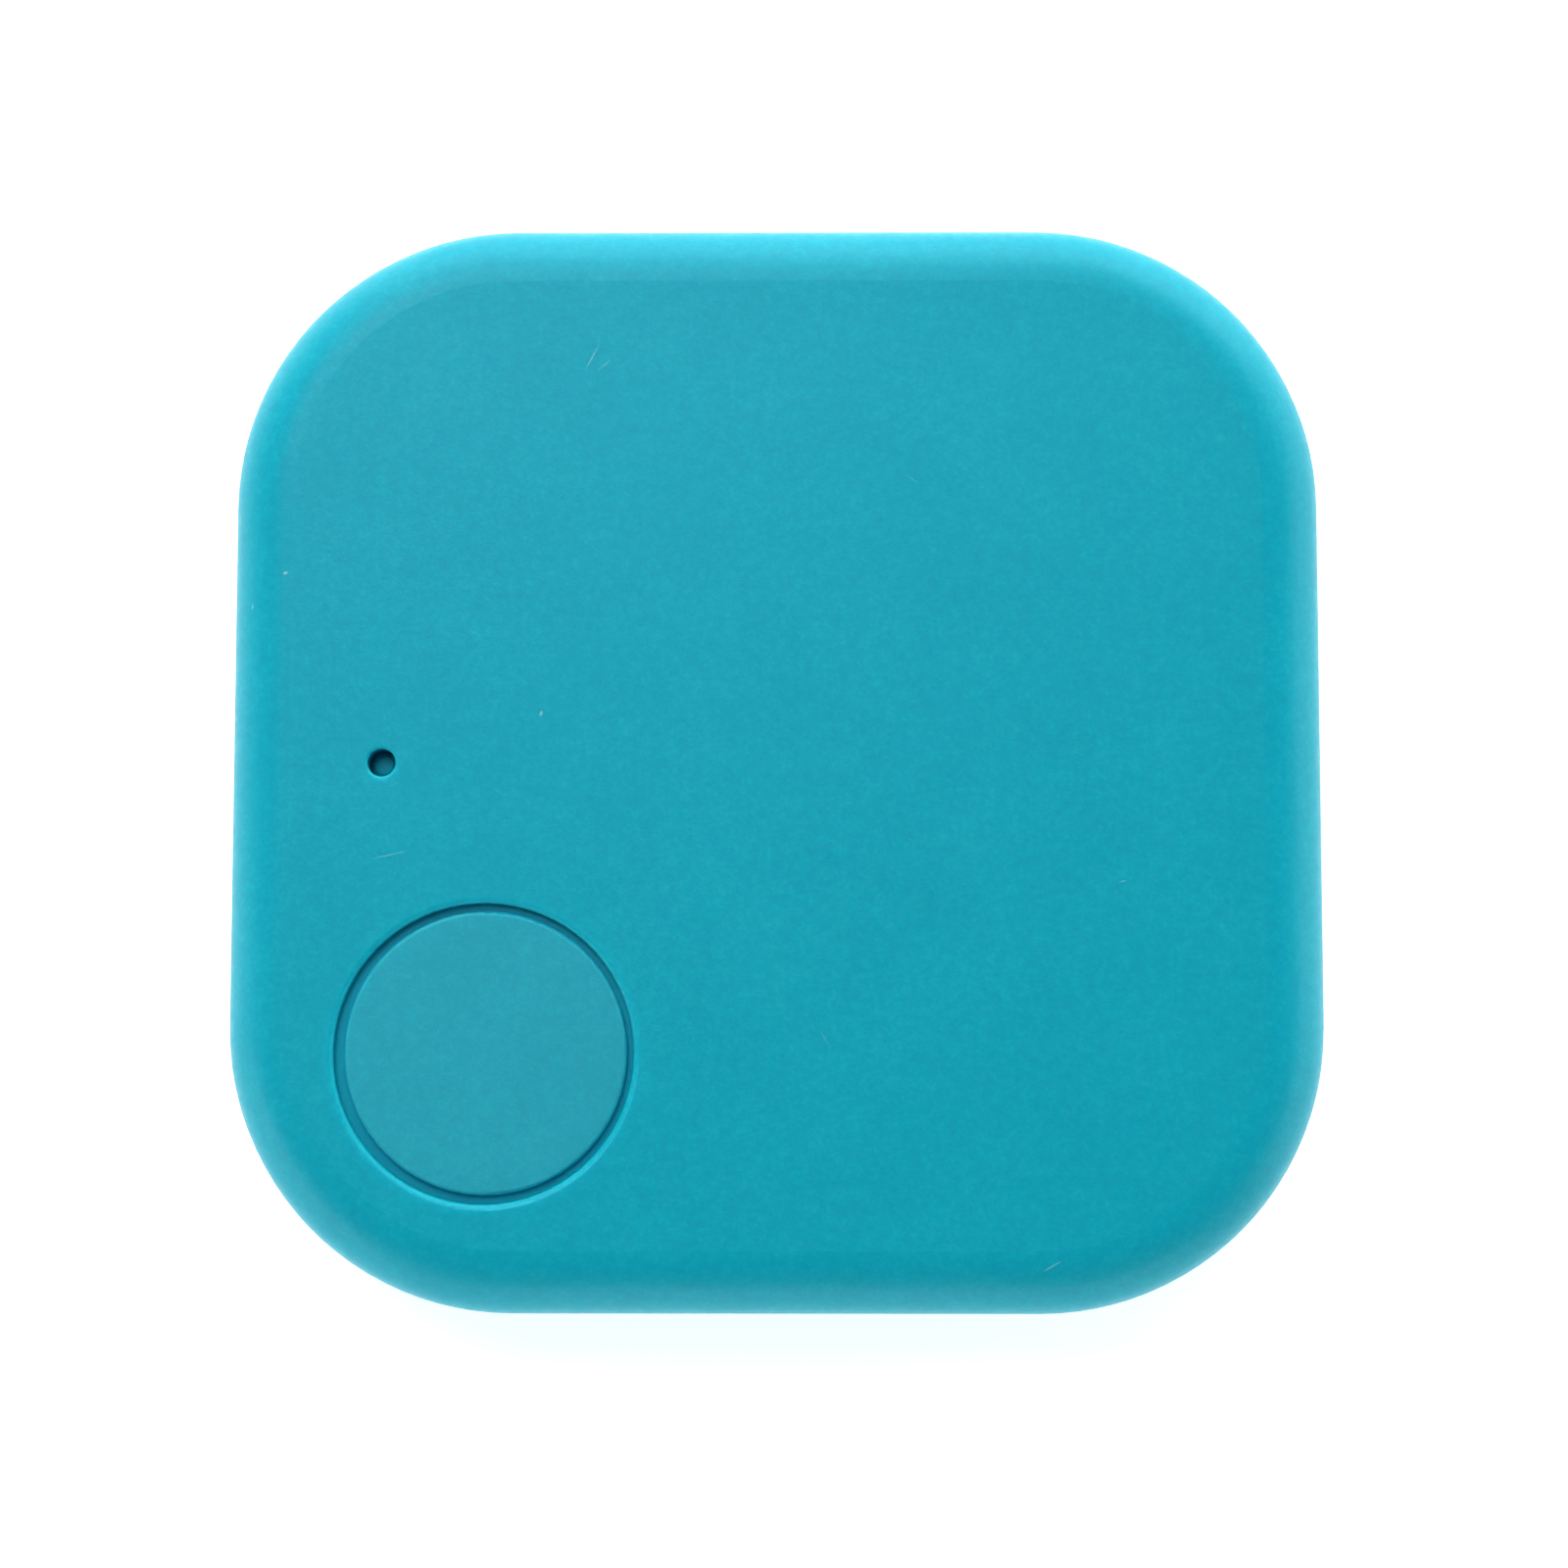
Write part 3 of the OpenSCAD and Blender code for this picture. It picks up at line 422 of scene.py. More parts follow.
def board_finish():
    """Green solder mask over woven laminate, cut edges paler and rough."""
    finish = Finish("board_mask", Coat_Weight=0.35, Coat_Roughness=0.12)
    yarns = [finish.node("TexWave", {"bands_direction": way}, Vector=finish.place,
                         Scale=WEAVE_SCALE, Distortion=0.4).outputs["Fac"] for way in "XY"]
    weave = finish.math("MULTIPLY", *yarns)
    cloud = finish.noise(1.8 * MM, 3)
    mask = finish.ramp(finish.blend((cloud, 0.7), (weave, 0.3)),
                       (0.25, (0.006, 0.085, 0.038)), (0.75, (0.014, 0.150, 0.070)))
    normal = finish.node("NewGeometry").outputs["True Normal"]
    upright = finish.math("ABSOLUTE", finish.node("SeparateXYZ", Vector=normal).outputs["Z"])
    edge = finish.ramp(upright, (0.4, 1.0), (0.6, 0.0))
    fibre = finish.noise(0.08 * MM, 2, stretch=(1, 1, 0.15))
    laminate = finish.ramp(fibre, (0.3, (0.30, 0.27, 0.13)), (0.7, (0.50, 0.46, 0.26)))
    finish.colour(finish.mix(edge, mask, laminate))
    finish.rough(finish.ramp(finish.blend((edge, 1.0), (cloud, 0.2)), (0.0, 0.26), (1.0, 0.8)))
    finish.bump(weave, 0.006 * MM, 0.35)
    return finish.material


def foam_finish():
    """Open-celled black foam."""
    finish = Finish("foam_cells", Roughness=0.92, Specular_IOR_Level=0.15, Sheen_Weight=0.25,
                    Sheen_Roughness=0.6)
    cells = finish.node("TexVoronoi", Vector=finish.place, Scale=1 / (0.22 * MM)).outputs["Distance"]
    finish.colour(finish.ramp(cells, (0.1, (0.008, 0.008, 0.009)), (0.6, (0.055, 0.055, 0.06))))
    finish.bump(cells, 0.05 * MM, 0.9)
    return finish.material


def paper_finish(name, colour):
    """Pressed fibres, or ink with a fibrous look."""
    finish = Finish(name, Roughness=0.85, Specular_IOR_Level=0.2)
    fibres = finish.noise(0.1 * MM, 4, 0.75, stretch=(1, 0.2, 1))
    finish.colour(finish.ramp(fibres, (0.3, shade(colour, 0.85)), (0.7, colour)))
    finish.bump(fibres, 0.01 * MM, 0.7)
    return finish.material


STEEL = (0.62, 0.61, 0.59)
GOLD = (0.83, 0.56, 0.20)


def dress_cad_nodes():
    """Gives every CAD node its material."""
    looks = {
        "front_shell": case_plastic("case_front", marks=True, paint_gap_shade=True),
        "back_cover": case_plastic("case_back"),
        "button_cap": case_plastic("case_button", grease=0.075, paint_gap_shade=True),
        "light_pipe": clear_plastic("pipe_smoke", (0.001, 0.34, 0.46), 0.5, 0.2, Specular_IOR_Level=0.08),
        "circuit_board": board_finish(),
        "pcb_screws": rolled_metal("screw_zinc", (0.58, 0.60, 0.63), 0.34, tarnish=(0.50, 0.47, 0.36)),
        "radio_chip": moulded("chip_epoxy", (0.022, 0.022, 0.024), 0.62),
        "crystal_can": rolled_metal("can_nickel", (0.66, 0.63, 0.55), 0.3),
        "chip_antenna": fired("antenna_ceramic", (0.72, 0.72, 0.66)),
        "chip_capacitors": fired("capacitor_ceramic", (0.34, 0.22, 0.11)),
        "chip_resistors": fired("resistor_glaze", (0.035, 0.035, 0.040), 0.25),
        "bulk_capacitor": fired("bulk_ceramic", (0.38, 0.26, 0.14)),
        "power_inductor": moulded("inductor_ferrite", (0.055, 0.055, 0.058), 0.7, grain=0.09 * MM),
        "driver_transistor": moulded("transistor_epoxy", (0.020, 0.020, 0.022), 0.6),
        "driver_diode": moulded("diode_epoxy", (0.020, 0.020, 0.022), 0.6),
        "test_pads": rolled_metal("pad_gold", GOLD, 0.3),
        "led_base": moulded("led_substrate", (0.80, 0.80, 0.76), 0.45),
        "led_lens": clear_plastic("led_epoxy", (0.95, 0.90, 0.62), 0.15),
        "switch_base": moulded("switch_body", (0.025, 0.025, 0.028), 0.55),
        "switch_terminals": rolled_metal("terminal_silver", (0.75, 0.73, 0.68), 0.3),
        "switch_plunger": moulded("switch_stem", (0.09, 0.09, 0.10), 0.5),
        "switch_frame": rolled_metal("frame_steel", STEEL, 0.3),
        "negative_contact": rolled_metal("leaf_gold_a", GOLD, 0.24, across=(0.04, 1, 0.04)),
        "positive_contact": rolled_metal("leaf_gold_b", GOLD, 0.24, across=(0.04, 0.04, 1)),
        "cell_can": turned_metal("cell_can_steel", (0.50, 0.50, 0.49), CELL),
        "cell_cap": turned_metal("cell_cap_steel", (0.48, 0.48, 0.47), CELL, pitch=0.09 * MM),
        "cell_gasket": moulded("gasket_resin", (0.07, 0.14, 0.30), 0.4),
        "cell_cathode": moulded("cathode_powder", (0.02, 0.02, 0.021), 0.9, grain=0.06 * MM),
        "cell_separator": paper_finish("separator_fibre", (0.82, 0.82, 0.80)),
        "cell_anode": rolled_metal("lithium_dull", (0.45, 0.45, 0.47), 0.5),
        "buzzer_adhesive": moulded("transfer_tape", (0.62, 0.56, 0.36), 0.4),
        "buzzer_disc": turned_metal("disc_brass", (0.80, 0.56, 0.22), CELL),
        "buzzer_ceramic": fired("piezo_ceramic", (0.66, 0.62, 0.48), 0.5),
        "buzzer_electrode": paper_finish("silver_ink", (0.72, 0.72, 0.70)),
    }
    for node, material in looks.items():
        slots = NODES[node].data.materials
        for i in range(len(slots)):
            slots[i] = material


# ---------------------------------------------------------------- mesh building

class Shape:
    """Points and faces collected for one piece."""

    def __init__(self):
        self.points = []
        self.faces = []

    def add(self, points):
        """Adds the points, and returns their numbers."""
        first = len(self.points)
        self.points.extend(Vector(p) for p in points)
        return list(range(first, len(self.points)))

    def loft(self, rings, cap_ends=True):
        """Joins rings of points, one after the other, each a closed loop of the same length."""
        rings = [self.add(ring) for ring in rings]
        count = len(rings[0])
        for a, b in zip(rings, rings[1:]):
            for k in range(count):
                n = (k + 1) % count
                self.faces.append((a[k], a[n], b[n], b[k]))
        if cap_ends:
            self.faces.append(tuple(reversed(rings[0])))
            self.faces.append(tuple(rings[-1]))

    def revolve(self, centre, profile, steps=48, wobble=None):
        """Turns (radius, height) points about the vertical through centre; its ends are on the axis."""
        rings = []
        for radius, height in profile[1:-1]:
            ring = []
            for k in range(steps):
                angle = math.tau * k / steps
                x = centre.x + radius * math.cos(angle)
                y = centre.y + radius * math.sin(angle)
                point = Vector((x, y, height))
                ring.append(wobble(point) if wobble else point)
            rings.append(ring)
        foot = self.add([(centre.x, centre.y, profile[0][1])])[0]
        head = self.add([(centre.x, centre.y, profile[-1][1])])[0]
        first = len(self.points)
        self.loft(rings, cap_ends=False)
        last = len(self.points) - steps
        for k in range(steps):
            n = (k + 1) % steps
            self.faces.append((foot, first + n, first + k))
            self.faces.append((head, last + k, last + n))

    def strip(self, points, width, z0, z1):
        """A flat mitred strip along points of the plane."""
        points = [Vector(p) for p in points]
        rings = []
        for i, point in enumerate(points):
            before = (point - points[i - 1]).normalized() if i else None
            after = (points[i + 1] - point).normalized() if i < len(points) - 1 else None
            along = ((before or after) + (after or before)).normalized()
            across = Vector((-along.y, along.x))
            turn = Vector((-(before or after).y, (before or after).x))
            reach = across * (width / 2 / max(across.dot(turn), 0.5))
            a, b = point - reach, point + reach
            rings.append([(a.x, a.y, z0), (b.x, b.y, z0), (b.x, b.y, z1), (a.x, a.y, z1)])
        self.loft(rings)

    def washer(self, centre, outer, inner, z0, z1, steps=40):
        """A flat ring."""
        rings = []
        for k in range(steps + 1):
            angle = math.tau * k / steps
            way = Vector((math.cos(angle), math.sin(angle)))
            a, b = centre + way * inner, centre + way * outer
            rings.append([(a.x, a.y, z0), (b.x, b.y, z0), (b.x, b.y, z1), (a.x, a.y, z1)])
        self.loft(rings, cap_ends=False)

    def box(self, centre, size, z0, z1):
        """A block with its length along X."""
        half = Vector(size) / 2
        self.strip([centre - Vector((half.x, 0)), centre + Vector((half.x, 0))], size[1], z0, z1)

    def plus(self, centre, size, line, z0, z1):
        """A plus sign with arms line wide, as one prism."""
        a, b = line / 2, size / 2
        corners = [(a, a), (a, b), (-a, b), (-a, a), (-b, a), (-b, -a),
                   (-a, -a), (-a, -b), (a, -b), (a, -a), (b, -a), (b, a)]
        self.loft([[(centre.x + x, centre.y + y, z) for x, y in corners] for z in (z0, z1)])


# Points of a piece closer than this are one point
WELD = 0.0005 * MM


def add_piece(name, shape, material, body, replaces=None, sharp=40):
    """Makes a piece that rides on a body. Edges above sharp degrees stay sharp."""
    mesh = bpy.data.meshes.new(name)
    mesh.from_pydata(shape.points, [], shape.faces)
    merged = bpy.data.objects.new(name, mesh)
    bpy.context.scene.collection.objects.link(merged)
    welded = bmesh.new()
    welded.from_mesh(mesh)
    bmesh.ops.remove_doubles(welded, verts=welded.verts, dist=WELD)
    bmesh.ops.recalc_face_normals(welded, faces=welded.faces)
    welded.to_mesh(mesh)
    welded.free()
    mesh.shade_smooth()
    mesh.set_sharp_from_angle(angle=math.radians(sharp))
    mesh.materials.append(material)
    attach(merged, body)
    if replaces:
        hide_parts(replaces)
    return merged


# Corners of faces that round to the same multiple of this are one corner
SAME_CORNER = 0.002 * MM


def islands(node):
    """The lowest and highest corners of each separate solid of a node, left to right."""
    mesh = NODES[node].data
    keys = [tuple(round(c / SAME_CORNER) for c in v.co) for v in mesh.vertices]
    group = {key: key for key in keys}

    def root(key):
        while group[key] != key:
            key = group[key]
        return key

    for face in mesh.polygons:
        first = root(keys[face.vertices[0]])
        for v in face.vertices[1:]:
            group[root(keys[v])] = first
    members = {}
    for vertex, key in zip(mesh.vertices, keys):
        members.setdefault(root(key), []).append(vertex.co)
    boxes = []
    for points in members.values():
        lo = Vector([min(p[i] for p in points) for i in range(3)])
        hi = Vector([max(p[i] for p in points) for i in range(3)])
        boxes.append((lo, hi))
    return sorted(boxes, key=lambda box: (round(box[0].x, 6), round(box[0].y, 6)))


def flat(v):
    """The place of a point as seen from above."""
    return Vector((v.x, v.y))


# ---------------------------------------------------------------- under the cell

# The foam's rounded edge and how far its face sinks, as shares of the pad's thickness
FOAM_EDGE = 0.4
FOAM_SINK = 0.09
# Size of the foam's unevenness, and how far it draws the rim in
FOAM_LUMP = 0.35 * MM
FOAM_DRAW = 0.05 * MM
# Rings of points on its back, round its edge and on its face
FOAM_RINGS = 12, 8, 40


def add_foam_pad():
    """The die-cut foam pad: soft edges, a slightly crowned face and open cells."""
    lo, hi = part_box("cell_pad")
    radius, thick = (hi.x - lo.x) / 2, hi.z - lo.z
    edge = FOAM_EDGE * thick
    inner = radius - edge

    def wobble(point):
        """Uneven foam: it moves a point inwards or down, never out of the pad's own space."""
        depth = 0.5 + 0.5 * noise.noise(point / FOAM_LUMP)
        if point.z > lo.z + thick / 2:
            point.z -= FOAM_SINK * thick * depth
        out = point - Vector((CELL.x, CELL.y, point.z))
        if out.length > inner:
            point -= out.normalized() * FOAM_DRAW * depth
        return point

    back, side, face = FOAM_RINGS
    profile = [(0, lo.z)] + [(radius * k / back, lo.z) for k in range(1, back)] + [(inner, lo.z)]
    for k in range(1, side):
        angle = math.pi * (k / side - 0.5)
        profile.append((inner + edge * math.cos(angle), lo.z + thick / 2 * (1 + math.sin(angle))))
    profile += [(inner * k / face, hi.z) for k in range(face, -1, -1)]
    shape = Shape()
    shape.revolve(CELL, profile, 160, wobble)
    pad = add_piece("foam_pad", shape, foam_finish(), "cover", "cell_pad")


# ---------------------------------------------------------------- sounder wires and solder

WIRE_R = 0.22 * MM
WIRE_STEPS = 56
WIRE_SIDES = 20
# Steps without insulation at each end, and the bare metal's radius as a share of the wire's
BARE_STEPS = 4
STRIP_SHARE = 0.6
STRAND_SHARE = 0.55


def wire_route(node, starts_low):
    """The wire's own line: level over the cell, then eased down to the board, from its CAD box."""
    lo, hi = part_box(node)
    y0, y1 = (lo.y, hi.y) if starts_low else (hi.y, lo.y)
    inward = WIRE_R if starts_low else -WIRE_R
    start = Vector((hi.x, y0 + inward, hi.z - WIRE_R))
    end = Vector((lo.x, y1 - inward, lo.z + WIRE_R))
    drop_x = CELL.x - CELL_R - WIRE_R
    route = []
    for k in range(WIRE_STEPS + 1):
        point = start.lerp(end, k / WIRE_STEPS)
        t = min(1.0, (point.x - end.x) / (drop_x - end.x))
        point.z = end.z + (start.z - end.z) * t * t * (3 - 2 * t)
        route.append(point)
    return route


def tube_ring(at, along, radius):
    """A ring of points square to the way a wire runs."""
    side = along.cross(Vector((0, 0, 1))).normalized()
    up = side.cross(along)
    turns = [math.tau * k / WIRE_SIDES for k in range(WIRE_SIDES)]
    return [at + radius * (math.cos(a) * side + math.sin(a) * up) for a in turns]


def add_wire(name, node, starts_low, colour):
    """Insulated from a little way off each joint, with bare tinned strands in the joints."""
    route = wire_route(node, starts_low)
    ways = [(route[min(i + 1, WIRE_STEPS)] - route[max(i - 1, 0)]).normalized()
            for i in range(WIRE_STEPS + 1)]
    last = WIRE_STEPS - BARE_STEPS
    sleeve = Shape()
    rings = [tube_ring(route[i], ways[i], WIRE_R) for i in range(BARE_STEPS, last + 1)]
    rings.insert(0, tube_ring(route[BARE_STEPS], ways[BARE_STEPS], STRIP_SHARE * WIRE_R))
    rings.append(tube_ring(route[last], ways[last], STRIP_SHARE * WIRE_R))
    sleeve.loft(rings)
    silicone = moulded(name + "_silicone", colour, 0.42, grain=0.05 * MM, depth=0.003 * MM)
    add_piece(name, sleeve, silicone, "housing", node)
    strands = Shape()
    for first, end in ((0, BARE_STEPS + 1), (last - 1, WIRE_STEPS)):
        strands.loft([tube_ring(route[i], ways[i], STRAND_SHARE * WIRE_R) for i in range(first, end + 1)])
    tin = rolled_metal(name + "_tin", (0.72, 0.72, 0.70), 0.3)
    add_piece(name + "_strands", strands, tin, "housing")


# A solder joint's outline: radius and height as shares of its own, from its foot to its tip
JOINT_OUTLINE = [(0, 0), (0.99, 0), (1.0, 0.03), (0.93, 0.10), (0.82, 0.20), (0.72, 0.33), (0.64, 0.47),
                 (0.58, 0.62), (0.52, 0.76), (0.43, 0.88), (0.28, 0.96), (0.13, 0.995), (0, 1.0)]
# Each joint is out of round by this share, in three lobes
LOBE_DEPTH = 0.06


def add_solder_joints():
    """A waisted blob of solder at both ends of each sounder wire."""
    shape = Shape()
    for lo, hi in islands("solder_joints"):
        middle = (lo + hi) / 2
        axis = flat(middle)
        radius = (hi.x - lo.x) / 2
        on_board = middle.z < WIRE_SPLIT_Z
        foot, tip = (lo.z, hi.z) if on_board else (hi.z, lo.z)

        def wobble(point):
            out = flat(point) - axis
            lobes = math.sin(3 * math.atan2(out.y, out.x) + axis.x / MM)
            return (axis + out * (1 - LOBE_DEPTH + LOBE_DEPTH * lobes)).to_3d() + Vector((0, 0, point.z))

        outline = [(radius * r, foot + (tip - foot) * h) for r, h in JOINT_OUTLINE]
        shape.revolve(middle, outline, 40, wobble)
    tin = solder_finish("joint_tin")
    add_piece("joint_solder", shape, tin, "housing", "solder_joints", sharp=60)


def solder_finish(name):
    """Frosted tin."""
    finish = Finish(name, Metallic=1.0)
    frost = finish.noise(0.09 * MM, 3, 0.7)
    finish.colour(finish.ramp(frost, (0.35, (0.50, 0.50, 0.49)), (0.65, (0.76, 0.76, 0.75))))
    finish.rough(finish.ramp(frost, (0.3, 0.18), (0.7, 0.38)))
    finish.bump(frost, 0.006 * MM, 0.6)
    return finish.material


# The concave side of a chip's solder, out from its end and up it, in shares of the fillet's size
FILLET_OUTLINE = [(0, 0), (1.0, 0), (0.72, 0.05), (0.48, 0.14),
                  (0.28, 0.30), (0.14, 0.52), (0.05, 0.78), (0, 1.0)]
# Where its rings are across the chip, in shares of the width, and how large each is
FILLET_RINGS = [(-0.46, 0.6), (-0.40, 1.0), (-0.2, 1.0), (0, 1.0), (0.2, 1.0), (0.40, 1.0), (0.46, 0.6)]
# How far it goes out, as a share of the chip's width, and up, as a share of its height
FILLET_OUT, FILLET_UP = 0.30, 0.6
WIDEST_CHIP = 1 * MM


def add_chip_solder():
    """A concave fillet of solder at both ends of each small chip."""
    shape = Shape()
    for node in ("chip_capacitors", "chip_resistors", "bulk_capacitor", "chip_antenna"):
        for lo, hi in islands(node):
            size = hi - lo
            middle = (lo + hi) / 2
            lengthwise = Vector((1, 0, 0)) if size.x > size.y else Vector((0, 1, 0))
            across = Vector((-lengthwise.y, lengthwise.x, 0))
            long, wide = max(size.x, size.y), min(size.x, size.y)
            out, up = FILLET_OUT * min(wide, WIDEST_CHIP), FILLET_UP * size.z
            for end in (-1, 1):
                foot = Vector((middle.x, middle.y, BOARD_HI.z)) + lengthwise * end * (long / 2)
                rings = []
                for share, swell in FILLET_RINGS:
                    base = foot + across * share * wide
                    rings.append([base + lengthwise * end * x * out * swell + Vector((0, 0, z * up * swell))
                                  for x, z in FILLET_OUTLINE])
                shape.loft(rings)
    add_piece("chip_solder", shape, solder_finish("chip_tin"), "housing", sharp=50)


# ---------------------------------------------------------------- the board's underside

BOARD_CORNER_R = 7.3 * MM
COPPER_T = 0.035 * MM
TRACK_W = 0.20 * MM
TRACK_PITCH = 0.40 * MM
# The tracks are further in than this from the board's left and lower edges
TRACK_INSET = 1.7 * MM, 2.1 * MM
# What is cut off a track's corner by its pad, and at the board's own corner
PAD_MITRE = 0.5 * MM
CORNER_MITRE = 2.5 * MM
# Tracks end this far apart, the fifth of them at the cell's middle
END_PITCH = 1.3 * MM
MIDDLE_TRACK = 4
# The broad tracks round the cell: their distance from the cut-out, and the angles they run between
ROUND_INSET = 0.55 * MM
ROUND_ANGLES = ((188, 214), (237, 262))
# The row of vias along the rim: its inset and pitch, and where it starts and ends
RIM_INSET = 0.75 * MM
RIM_PITCH = 1.6 * MM
RIM_START_Y = 10 * MM
RIM_END_X = 9 * MM
VIA_R, VIA_HOLE_R = 0.28 * MM, 0.12 * MM
# A screw's land reaches this far out past its head, and in under it
LAND_OUT, LAND_IN = 0.45 * MM, 0.35 * MM


def mask_green(name, base):
    """Solder mask over copper: paler than over bare laminate, and raised a little."""
    finish = Finish(name, Coat_Weight=0.35, Coat_Roughness=0.12)
    cloud = finish.noise(0.8 * MM, 3)
    finish.colour(finish.ramp(cloud, (0.3, shade(base, 0.85)), (0.7, shade(base, 1.15))))
    finish.rough(finish.ramp(cloud, (0.3, 0.22), (0.7, 0.34)))
    finish.bump(finish.noise(0.15 * MM, 2), 0.004 * MM, 0.5)
    return finish.material


def mitred(points, *cuts):
    """A route with each of its square corners cut off at 45 degrees, by the cut that goes with it."""
    points = [Vector(p) for p in points]
    route = [points[0]]
    for before, corner, after, cut in zip(points, points[1:], points[2:], cuts):
        route.append(corner + (before - corner).normalized() * cut)
        route.append(corner + (after - corner).normalized() * cut)
    return route + [points[-1]]


def along_route(route, spacing):
    """Points spaced evenly along a route."""
    found, left = [], 0.0
    for a, b in zip(route, route[1:]):
        length = (b - a).length
        while left <= length:
            found.append(a.lerp(b, left / length))
            left += spacing
        left -= length
    return found


def arc(centre, radius, start, end, steps=24):
    """Points on a circle, from one angle in degrees to another."""
    angles = [math.radians(start + (end - start) * k / steps) for k in range(steps + 1)]
    return [centre + Vector((math.cos(a), math.sin(a))) * radius for a in angles]


def add_board_tracks():
    """Tracks from the test pads down the left arm and along the lower one, each ending in a via."""
    under = BOARD_LO.z
    edge_x, edge_y = BOARD_LO.x, BOARD_LO.y
    pads = [flat((lo + hi) / 2) for lo, hi in islands("test_pads")]
    tracks, vias = Shape(), []
    for i, pad in enumerate(pads):
        turn_x = edge_x + TRACK_INSET[0] + TRACK_PITCH * (len(pads) - i)
        turn_y = edge_y + TRACK_INSET[1] + TRACK_PITCH * (len(pads) - i)
        end = Vector((CELL.x + (i - MIDDLE_TRACK) * END_PITCH, turn_y))
        route = mitred([pad, (turn_x, pad.y), (turn_x, turn_y), end], PAD_MITRE, CORNER_MITRE)
        tracks.strip(route, TRACK_W, under - COPPER_T, under + COPPER_T)
        vias.append(end)
    for start, end in ROUND_ANGLES:
        route = arc(flat(CELL), BITE_R + ROUND_INSET, start, end)
        tracks.strip(route, 2 * TRACK_W, under - COPPER_T, under + COPPER_T)
        vias += [route[0], route[-1]]
    corner = Vector((edge_x, edge_y)) + Vector((1, 1)) * BOARD_CORNER_R
    rim = [Vector((edge_x + RIM_INSET, RIM_START_Y))]
    rim += arc(corner, BOARD_CORNER_R - RIM_INSET, 180, 270)
    rim.append(Vector((RIM_END_X, edge_y + RIM_INSET)))
    vias += along_route(rim, RIM_PITCH)
    add_piece("board_tracks", tracks, mask_green("track_mask", (0.016, 0.190, 0.085)), "housing")
    return vias


def add_board_metal(vias):
    """Gilded rings: a small one round each via and a broad one under each screw's head."""
    under = BOARD_LO.z
    rings = Shape()
    for via in vias:
        rings.washer(via, VIA_R, VIA_HOLE_R, under - 1.1 * COPPER_T, under + COPPER_T, 20)
    for lo, hi in islands("pcb_screws"):
        middle, head_r = flat((lo + hi) / 2), (hi.x - lo.x) / 2
        rings.washer(middle, head_r + LAND_OUT, head_r - LAND_IN, under - COPPER_T, under + COPPER_T, 56)
    add_piece("board_lands", rings, rolled_metal("land_gold", GOLD, 0.3), "housing")


INK_LINE = 0.15 * MM
# The ink stands off the test pads, and off a screw's head, by this much
PAD_MARGIN = 0.55 * MM
SCREW_MARGIN = 0.75 * MM
# The polarity signs: their size, line and place beside each wire's end
SIGN_SIZE = 0.9 * MM
SIGN_LINE = 1.4 * INK_LINE
SIGN_BESIDE = 1.3 * MM
SIGN_APART = 1 * MM


def add_board_print():
    """White ink: a frame round the test pads, rings round the screws, and polarity signs by the wires."""
    under = BOARD_LO.z
    z0, z1 = under - 0.6 * COPPER_T, under + COPPER_T
    ink = Shape()
    lo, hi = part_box("test_pads")
    left, right, low, high = lo.x, hi.x + PAD_MARGIN, lo.y - PAD_MARGIN, hi.y + PAD_MARGIN
    outline = [(left, high), (right, high), (right, low), (left, low)]
    ink.strip(mitred(outline, 0.4 * MM, 0.4 * MM), INK_LINE, z0, z1)
    for screw_lo, screw_hi in islands("pcb_screws"):
        middle = flat((screw_lo + screw_hi) / 2)
        radius = (screw_hi.x - screw_lo.x) / 2 + SCREW_MARGIN
        for start in (20, 110, 200, 290):
            ink.strip(arc(middle, radius, start, start + 50, 10), INK_LINE, z0, z1)
    sign_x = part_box("buzzer_wire_red")[0].x - SIGN_BESIDE
    ink.plus(Vector((sign_x, CELL.y - SIGN_APART)), SIGN_SIZE, SIGN_LINE, z0, z1)
    sign_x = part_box("buzzer_wire_black")[0].x - SIGN_BESIDE
    ink.box(Vector((sign_x, CELL.y + SIGN_APART)), (SIGN_SIZE, SIGN_LINE), z0, z1)
    white = moulded("print_ink", (0.80, 0.80, 0.77), 0.7, depth=0.003 * MM)
    add_piece("board_print", ink, white, "housing")


# ---------------------------------------------------------------- the button's switch

DOME_SHEET = 0.08 * MM
# The dimple at the dome's crown: its depth and reach
DIMPLE_DEPTH, DIMPLE_REACH = 0.025 * MM, 0.3 * MM
# Its underside is never lower than this above its foot at the middle, and less towards the rim
DOME_LEAST = 0.01 * MM
DOME_RINGS = 14


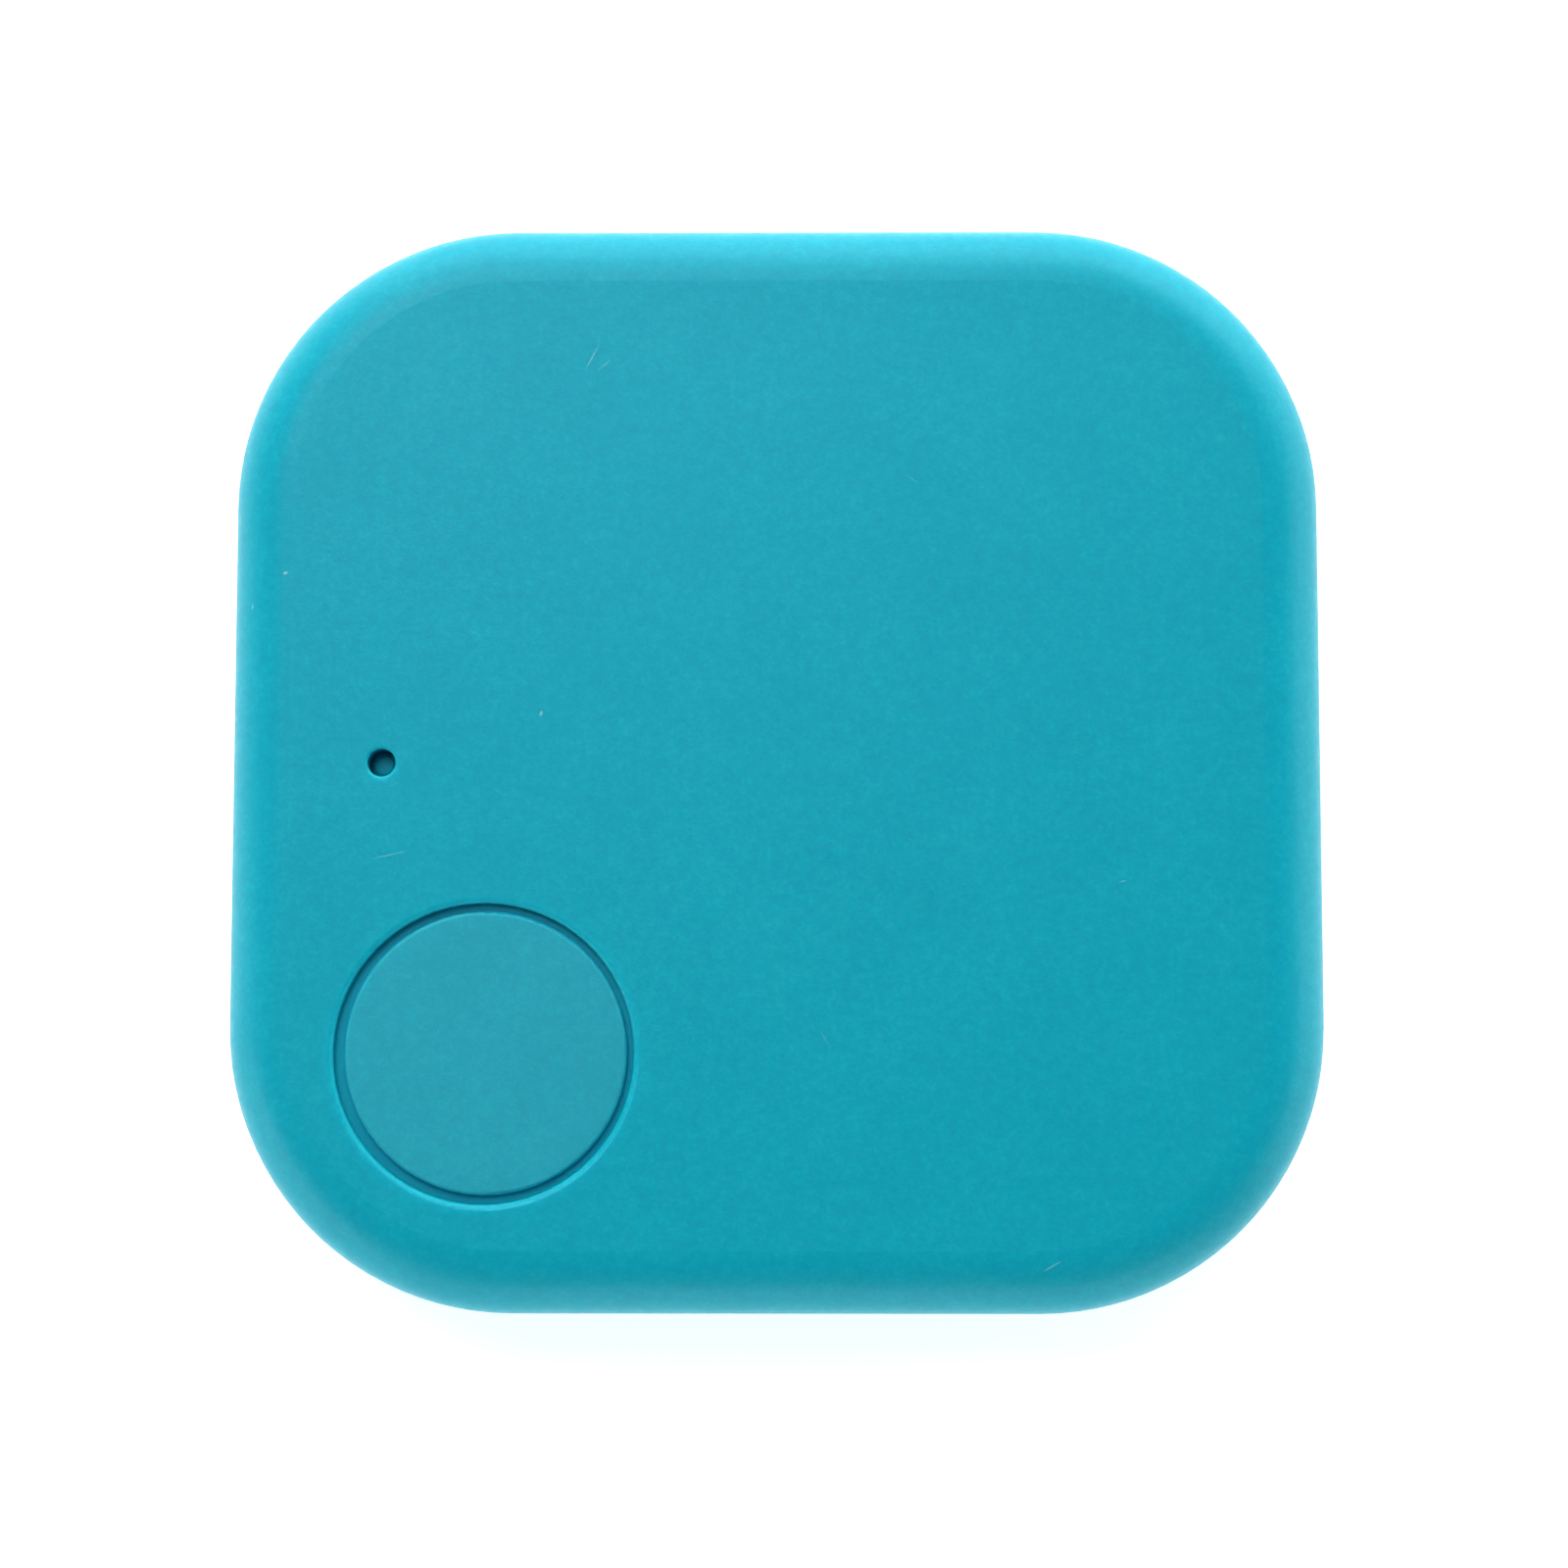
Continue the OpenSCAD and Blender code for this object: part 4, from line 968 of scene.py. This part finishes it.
def add_snap_dome():
    """The switch's sprung dome, with a dimple at its crown."""
    lo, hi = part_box("switch_dome")
    middle = (lo + hi) / 2
    rim, rise = (hi.x - lo.x) / 2, hi.z - lo.z
    ball = (rim * rim + rise * rise) / (2 * rise)

    def height(radius):
        dimple = DIMPLE_DEPTH * math.exp(-(radius / DIMPLE_REACH) ** 2)
        return lo.z + math.sqrt(ball * ball - radius * radius) - (ball - rise) - dimple

    radii = [rim * k / DOME_RINGS for k in range(DOME_RINGS)]
    profile = []
    for r in radii:
        underside = height(r) - DOME_SHEET
        if underside > lo.z:
            profile.append((r, max(underside, lo.z + DOME_LEAST * (1 - r / rim))))
    profile += [(rim - DOME_SHEET, lo.z), (rim, lo.z)] + [(r, height(r)) for r in reversed(radii)]
    shape = Shape()
    shape.revolve(middle, profile, 64)
    metal = turned_metal("dome_steel", STEEL, middle)
    dome = add_piece("snap_dome", shape, metal, "housing", "switch_dome")
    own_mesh(dome)


# ---------------------------------------------------------------- inside the cover

# Middles of the pin marks in mm, and their outer and inner radius
PIN_MARKS = ((-14, 14), (-14, -14), (14, -14), (-14, 0), (0, -14))
PIN_R, PIN_INNER_R = 0.9 * MM, 0.78 * MM
# Marks reach this far down into the cover, so that nothing shows under them
MARK_ROOT = 0.05 * MM
# The cover's collar round the cell, and the sign's distance from its outermost points
COLLAR_R = CELL_R + 0.85 * MM
SIGN_OFF_COLLAR = 2.6 * MM


def add_cover_marks():
    """What the mould leaves on the cover's floor: pin marks, and a plus sign for the cell."""
    floor_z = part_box("cell_pad")[0].z
    marks = Shape()
    for x, y in PIN_MARKS:
        marks.washer(Vector((x, y)) * MM, PIN_R, PIN_INNER_R, floor_z - MARK_ROOT, floor_z + 0.04 * MM, 40)
    beside = CELL.x - COLLAR_R - SIGN_OFF_COLLAR
    marks.plus(Vector((beside, beside)), 2.2 * MM, 0.45 * MM, floor_z - MARK_ROOT, floor_z + 0.10 * MM)
    add_piece("cover_marks", marks, case_plastic("case_marks"), "cover")


def add_cell_sign():
    """The stamped plus sign on the cell's can."""
    sign = Shape()
    sign.plus(flat(CELL), 4.2 * MM, 0.55 * MM, CAN_LO.z - 0.012 * MM, CAN_LO.z + 0.05 * MM)
    add_piece("cell_sign", sign, turned_metal("sign_steel", (0.46, 0.46, 0.45), CELL), "cell")


add_camera()
add_studio()
add_floor()
dress_cad_nodes()
add_foam_pad()
add_wire("sounder_wire_red", "buzzer_wire_red", True, (0.48, 0.012, 0.010))
add_wire("sounder_wire_black", "buzzer_wire_black", False, (0.014, 0.014, 0.015))
add_solder_joints()
add_chip_solder()
add_board_metal(add_board_tracks())
add_board_print()
add_snap_dome()
add_cover_marks()
add_cell_sign()
